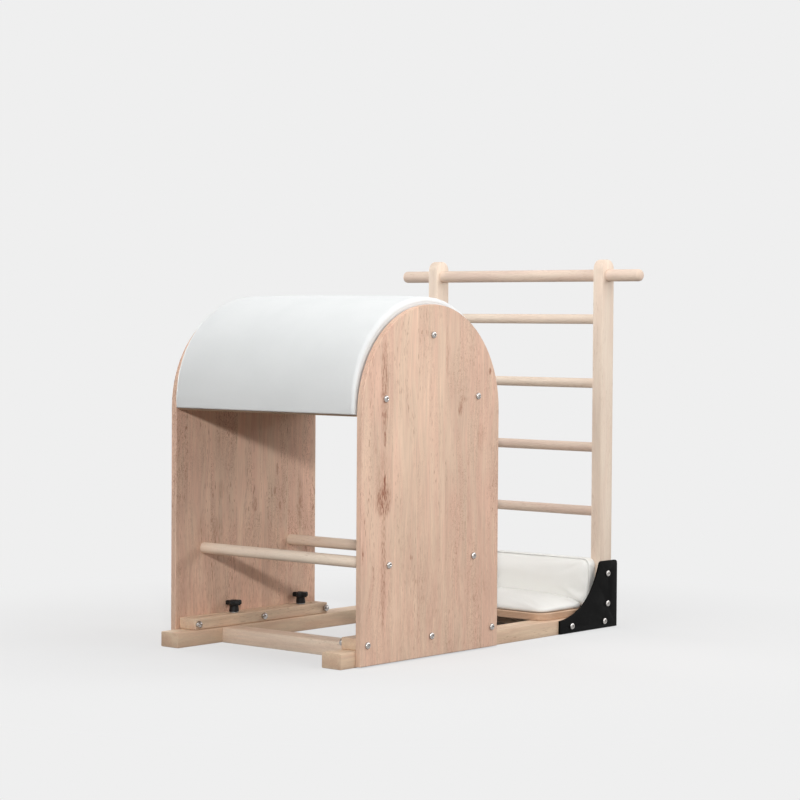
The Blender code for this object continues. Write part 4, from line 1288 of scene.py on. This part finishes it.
@dataclass
class Fasteners(Assembly):
    """The bolts through the panels and brackets."""

    head: float = 0.009
    head_height: float = 0.0055
    head_rim: float = 0.0010
    head_foot: float = 0.0006
    head_bevel: float = 0.0003
    head_seat: float = 0.0001
    socket: float = 0.0034
    socket_depth: float = 0.0027
    socket_tip: float = 0.0008
    socket_chamfer: float = 0.0006
    socket_flare: float = 0.0007
    shank: float = 0.005
    nut_flat: float = 0.00825
    nut_height: float = 0.008
    nut_bevel: float = 0.0013
    nut_edge: float = 0.0004
    nut_face: float = 0.99
    end: float = 0.004
    tip: float = 0.0012
    thread_depth: float = 0.0006
    thread_pitch: float = 0.0008
    sides: int = 36
    dome_steps: int = 8
    dome_step: float = 11.0
    crease_angle: float = 38.0

    def ring(self, radius: float, height: float, hexagon: float = 0.0) -> list[Point]:
        """Draw a ring that is round, or a hexagon, or between.

        Args:
            radius: The round ring's radius, and the hexagon's across its flats.
            height: Its height along the bolt.
            hexagon: 0 for round, 1 for a hexagon.

        Returns:
            The ring's points.
        """
        points = []
        for step in range(self.sides):
            turn = math.tau * step / self.sides
            flat = math.cos((turn % (math.pi / 3)) - math.pi / 6)
            reach = radius * (1 - hexagon + hexagon / flat)
            points.append((reach * math.cos(turn), reach * math.sin(turn), height))
        return points

    def nut(self, high: float) -> Rows:
        """List the rows of a nut.

        Args:
            high: Where its upper face lies along the bolt.

        Returns:
            Rows of radius, height and share of hexagon.
        """
        low = high - self.nut_height
        flat, bevel, edge = self.nut_flat, self.nut_bevel, self.nut_edge
        return [
            (self.shank, high), (flat * self.nut_face, high), (flat, high - edge, 0.3),
            (flat, high - bevel, 1.0), (flat, low + bevel, 1.0), (flat, low + edge, 0.3),
            (flat * self.nut_face, low), (self.shank, low),
        ]

    def rows(self, length: float, has_nut: bool) -> Rows:
        """List the rows of one bolt from its socket to its end.

        Args:
            length: From under the head to the end.
            has_nut: Whether a nut sits on it.

        Returns:
            Rows of radius, height and, if it isn't round, share of hexagon.
        """
        top, rim = self.head_height, self.head_rim
        floor = top - self.socket_depth
        mouth = self.socket + self.socket_flare
        rows: Rows = [
            (self.socket_tip, floor - self.socket_chamfer), (self.socket, floor, 1.0),
            (self.socket, top - self.socket_chamfer, 1.0), (mouth, top, 0.4),
        ]
        for step in range(1, self.dome_steps + 1):
            turn = math.radians(90 - self.dome_step * step)
            rows.append((mouth + (self.head - mouth) * math.cos(turn), rim + (top - rim) * math.sin(turn)))
        rows += [(self.head, self.head_foot), (self.head - self.head_bevel, self.head_seat)]
        rows.append((self.shank, 0.0))
        if has_nut:
            rows += self.nut(self.end + self.nut_height - length)
            depth, pitch = self.thread_depth, self.thread_pitch
            rows += thread(self.shank, depth, pitch, self.end - length, self.tip - length)
        return rows + [(self.shank - self.tip, -length)]

    def build(self) -> None:
        """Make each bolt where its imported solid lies."""
        for node in sorted(name for name in NODES if "_bolt_" in name):
            low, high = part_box(node)
            side = 1 if high.x > 0 else -1
            length = high.x - low.x - self.head_height
            outer = high.x if side > 0 else low.x
            body = bmesh.new()
            skin(body, [self.ring(*row) for row in self.rows(length, "stretcher" not in node)])
            turn = Vector((0, 0, 1)).rotation_difference(Vector((side, 0, 0))).to_matrix().to_4x4()
            seat = Vector((outer - side * self.head_height, (low.y + high.y) / 2, (low.z + high.z) / 2))
            bmesh.ops.transform(body, matrix=Matrix.Translation(seat) @ turn, verts=body.verts)
            rider = "barrel" if node.startswith("panel") else "base"
            piece = add_piece(f"{node}_detailed", body, self.palette.nickel, rider)
            crease(piece, self.crease_angle)
            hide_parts(node)


@dataclass(frozen=True)
class Lamp:
    """A soft square light: where it stands, what it faces, the length of its side and its power in watts."""

    name: str
    spot: Point
    aim: Point
    size: float
    power: float

    def light(self) -> None:
        """Add the light to the scene."""
        light = bpy.data.lights.new(self.name, "AREA")
        light.shape = "SQUARE"
        light.size = self.size
        light.energy = self.power
        lamp = bpy.data.objects.new(self.name, light)
        lamp.location = self.spot
        lamp.rotation_euler = (Vector(self.aim) - Vector(self.spot)).to_track_quat("-Z", "Y").to_euler()
        bpy.context.scene.collection.objects.link(lamp)


LAMPS = (
    Lamp("key", (3.3, -3.8, 1.73), (0.0, -0.1, 0.45), 0.22, 99.0),
    Lamp("side", (3.3, 0.2, 2.3), (0.0, 0.0, 0.5), 2.0, 53.0),
    Lamp("front", (-0.6, -4.4, 1.8), (0.0, 0.0, 0.5), 2.0, 38.0),
    Lamp("front_high", (0.3, -2.6, 3.2), (0.0, 0.0, 0.5), 2.0, 18.0),
    Lamp("overhead", (0.0, -0.25, 2.3), (0.0, -0.25, 0.6), 1.2, 10.8),
    Lamp("top_rear", (0.3, 1.6, 3.2), (0.0, -0.1, 0.6), 1.6, 12.0),
    Lamp("rear", (2.6, 3.4, 2.4), (0.0, 0.2, 0.5), 2.0, 60.0),
    Lamp("left", (-3.9, 0.4, 1.2), (0.0, 0.0, 0.5), 2.0, 78.0),
)


@dataclass
class Studio:
    """Pale floor and background, soft lights and the camera."""

    background: Colour = (239, 239, 239)
    ambient: float = 0.155
    eye: Point = (4.173798, -4.915839, 0.862108)
    right: Point = (0.762712, 0.646704, 0.006652)
    up: Point = (-0.026638, 0.021136, 0.999422)
    lens: float = 106.1565
    sensor: float = 36.0
    view_depth: float = 200.0
    floor_half: float = 60.0
    floor_drop: float = 0.0004
    shadow_start: float = 0.75
    shadow_end: float = 1.7
    shadow_share: float = 0.35
    seat_shadow: tuple[float, float, float] = (0.30, 0.24, 0.54)
    seat_shadow_blur: float = 0.04
    seat_shadow_front_blur: float = 0.05
    pale: tuple[float, float, float, float] = (0.77, 0.77, 0.77, 1.0)
    bounce: tuple[float, float, float, float] = (0.165, 0.150, 0.135, 1.0)

    def camera(self) -> None:
        """Add the camera at the photograph's place."""
        data = bpy.data.cameras.new("photo_camera")
        data.lens = self.lens
        data.sensor_width = self.sensor
        data.sensor_fit = "HORIZONTAL"
        data.clip_end = self.view_depth
        camera = bpy.data.objects.new("photo_camera", data)
        right, up = Vector(self.right), Vector(self.up)
        turn = Matrix((right, up, right.cross(up))).transposed().to_4x4()
        camera.matrix_world = Matrix.Translation(self.eye) @ turn
        bpy.context.scene.collection.objects.link(camera)
        bpy.context.scene.camera = camera

    def seen(self, tree: bpy.types.NodeTree) -> Socket:
        """Give a value that is 1 for rays from the camera, a mirror or glass.

        Args:
            tree: The node tree that takes the nodes.

        Returns:
            The value's socket.
        """
        path = tree.nodes.new("ShaderNodeLightPath")
        total = path.outputs["Is Camera Ray"]
        for name in ("Is Glossy Ray", "Is Transmission Ray"):
            add = tree.nodes.new("ShaderNodeMath")
            add.operation = "MAXIMUM"
            tree.links.new(total, add.inputs[0])
            tree.links.new(path.outputs[name], add.inputs[1])
            total = add.outputs[0]
        return total

    def world(self) -> None:
        """Light the scene softly from all round, before a plain pale background."""
        world = bpy.data.worlds.new("studio")
        bpy.context.scene.world = world
        world.use_nodes = True
        tree = world.node_tree
        soft = tree.nodes["Background"]
        soft.inputs["Color"].default_value = (1.0, 1.0, 1.0, 1.0)
        soft.inputs["Strength"].default_value = self.ambient
        plain = tree.nodes.new("ShaderNodeBackground")
        plain.inputs["Color"].default_value = linear(self.background)
        mix = tree.nodes.new("ShaderNodeMixShader")
        for place, output in enumerate((self.seen(tree), soft.outputs[0], plain.outputs[0])):
            tree.links.new(output, mix.inputs[place])
        tree.links.new(mix.outputs[0], tree.nodes["World Output"].inputs[0])

    def floor(self) -> None:
        """Lay a pale floor that keeps a soft shadow."""
        body = bmesh.new()
        bmesh.ops.create_grid(body, x_segments=1, y_segments=1, size=self.floor_half)
        mesh = bpy.data.meshes.new("floor")
        body.to_mesh(mesh)
        body.free()
        floor = bpy.data.objects.new("floor", mesh)
        floor.location.z = -self.floor_drop
        bpy.context.scene.collection.objects.link(floor)
        r = Recipe("pale_floor")
        r.tree.nodes.remove(r.shader)
        seen = self.seen(r.tree)
        far = r.vector("LENGTH", r.point)
        shadowed = r.ramp(far, self.shadow_start, self.shadow_end, self.shadow_share, 0.0)
        half, front, rear = self.seat_shadow
        blur = self.seat_shadow_blur
        x, y, _ = r.split(r.point)
        beside = r.ramp(r.math("ABSOLUTE", x), half, half - blur)
        under = r.times(r.ramp(y, front, front + self.seat_shadow_front_blur), r.ramp(y, rear, rear - blur))
        shadowed = r.math("MAXIMUM", shadowed, r.times(beside, under))
        matt = r.node("ShaderNodeBsdfDiffuse", {"Color": r.mix(seen, self.bounce, self.pale)}).outputs[0]
        plain = r.node("ShaderNodeEmission", {"Color": linear(self.background)}).outputs[0]
        share = r.times(seen, r.math("SUBTRACT", 1.0, shadowed))
        mixed = r.node("ShaderNodeMixShader", {0: share, 1: matt, 2: plain}).outputs[0]
        r.feed(r.tree.nodes["Material Output"].inputs["Surface"], mixed)
        mesh.materials.append(r.material)

    def build(self) -> None:
        """Set up the whole studio."""
        bpy.context.scene.view_settings.view_transform = "Standard"
        self.camera()
        self.world()
        self.floor()
        for lamp in LAMPS:
            lamp.light()


def main() -> None:
    """Build the looks in order and report each piece."""
    logging.basicConfig(level=logging.INFO, format="%(message)s")
    palette = Palette()
    Studio().build()
    for assembly in (Base, Ladder, FootSeat, Barrel, Clamps, Fasteners):
        assembly(palette).build()


if __name__ == "__main__":
    main()
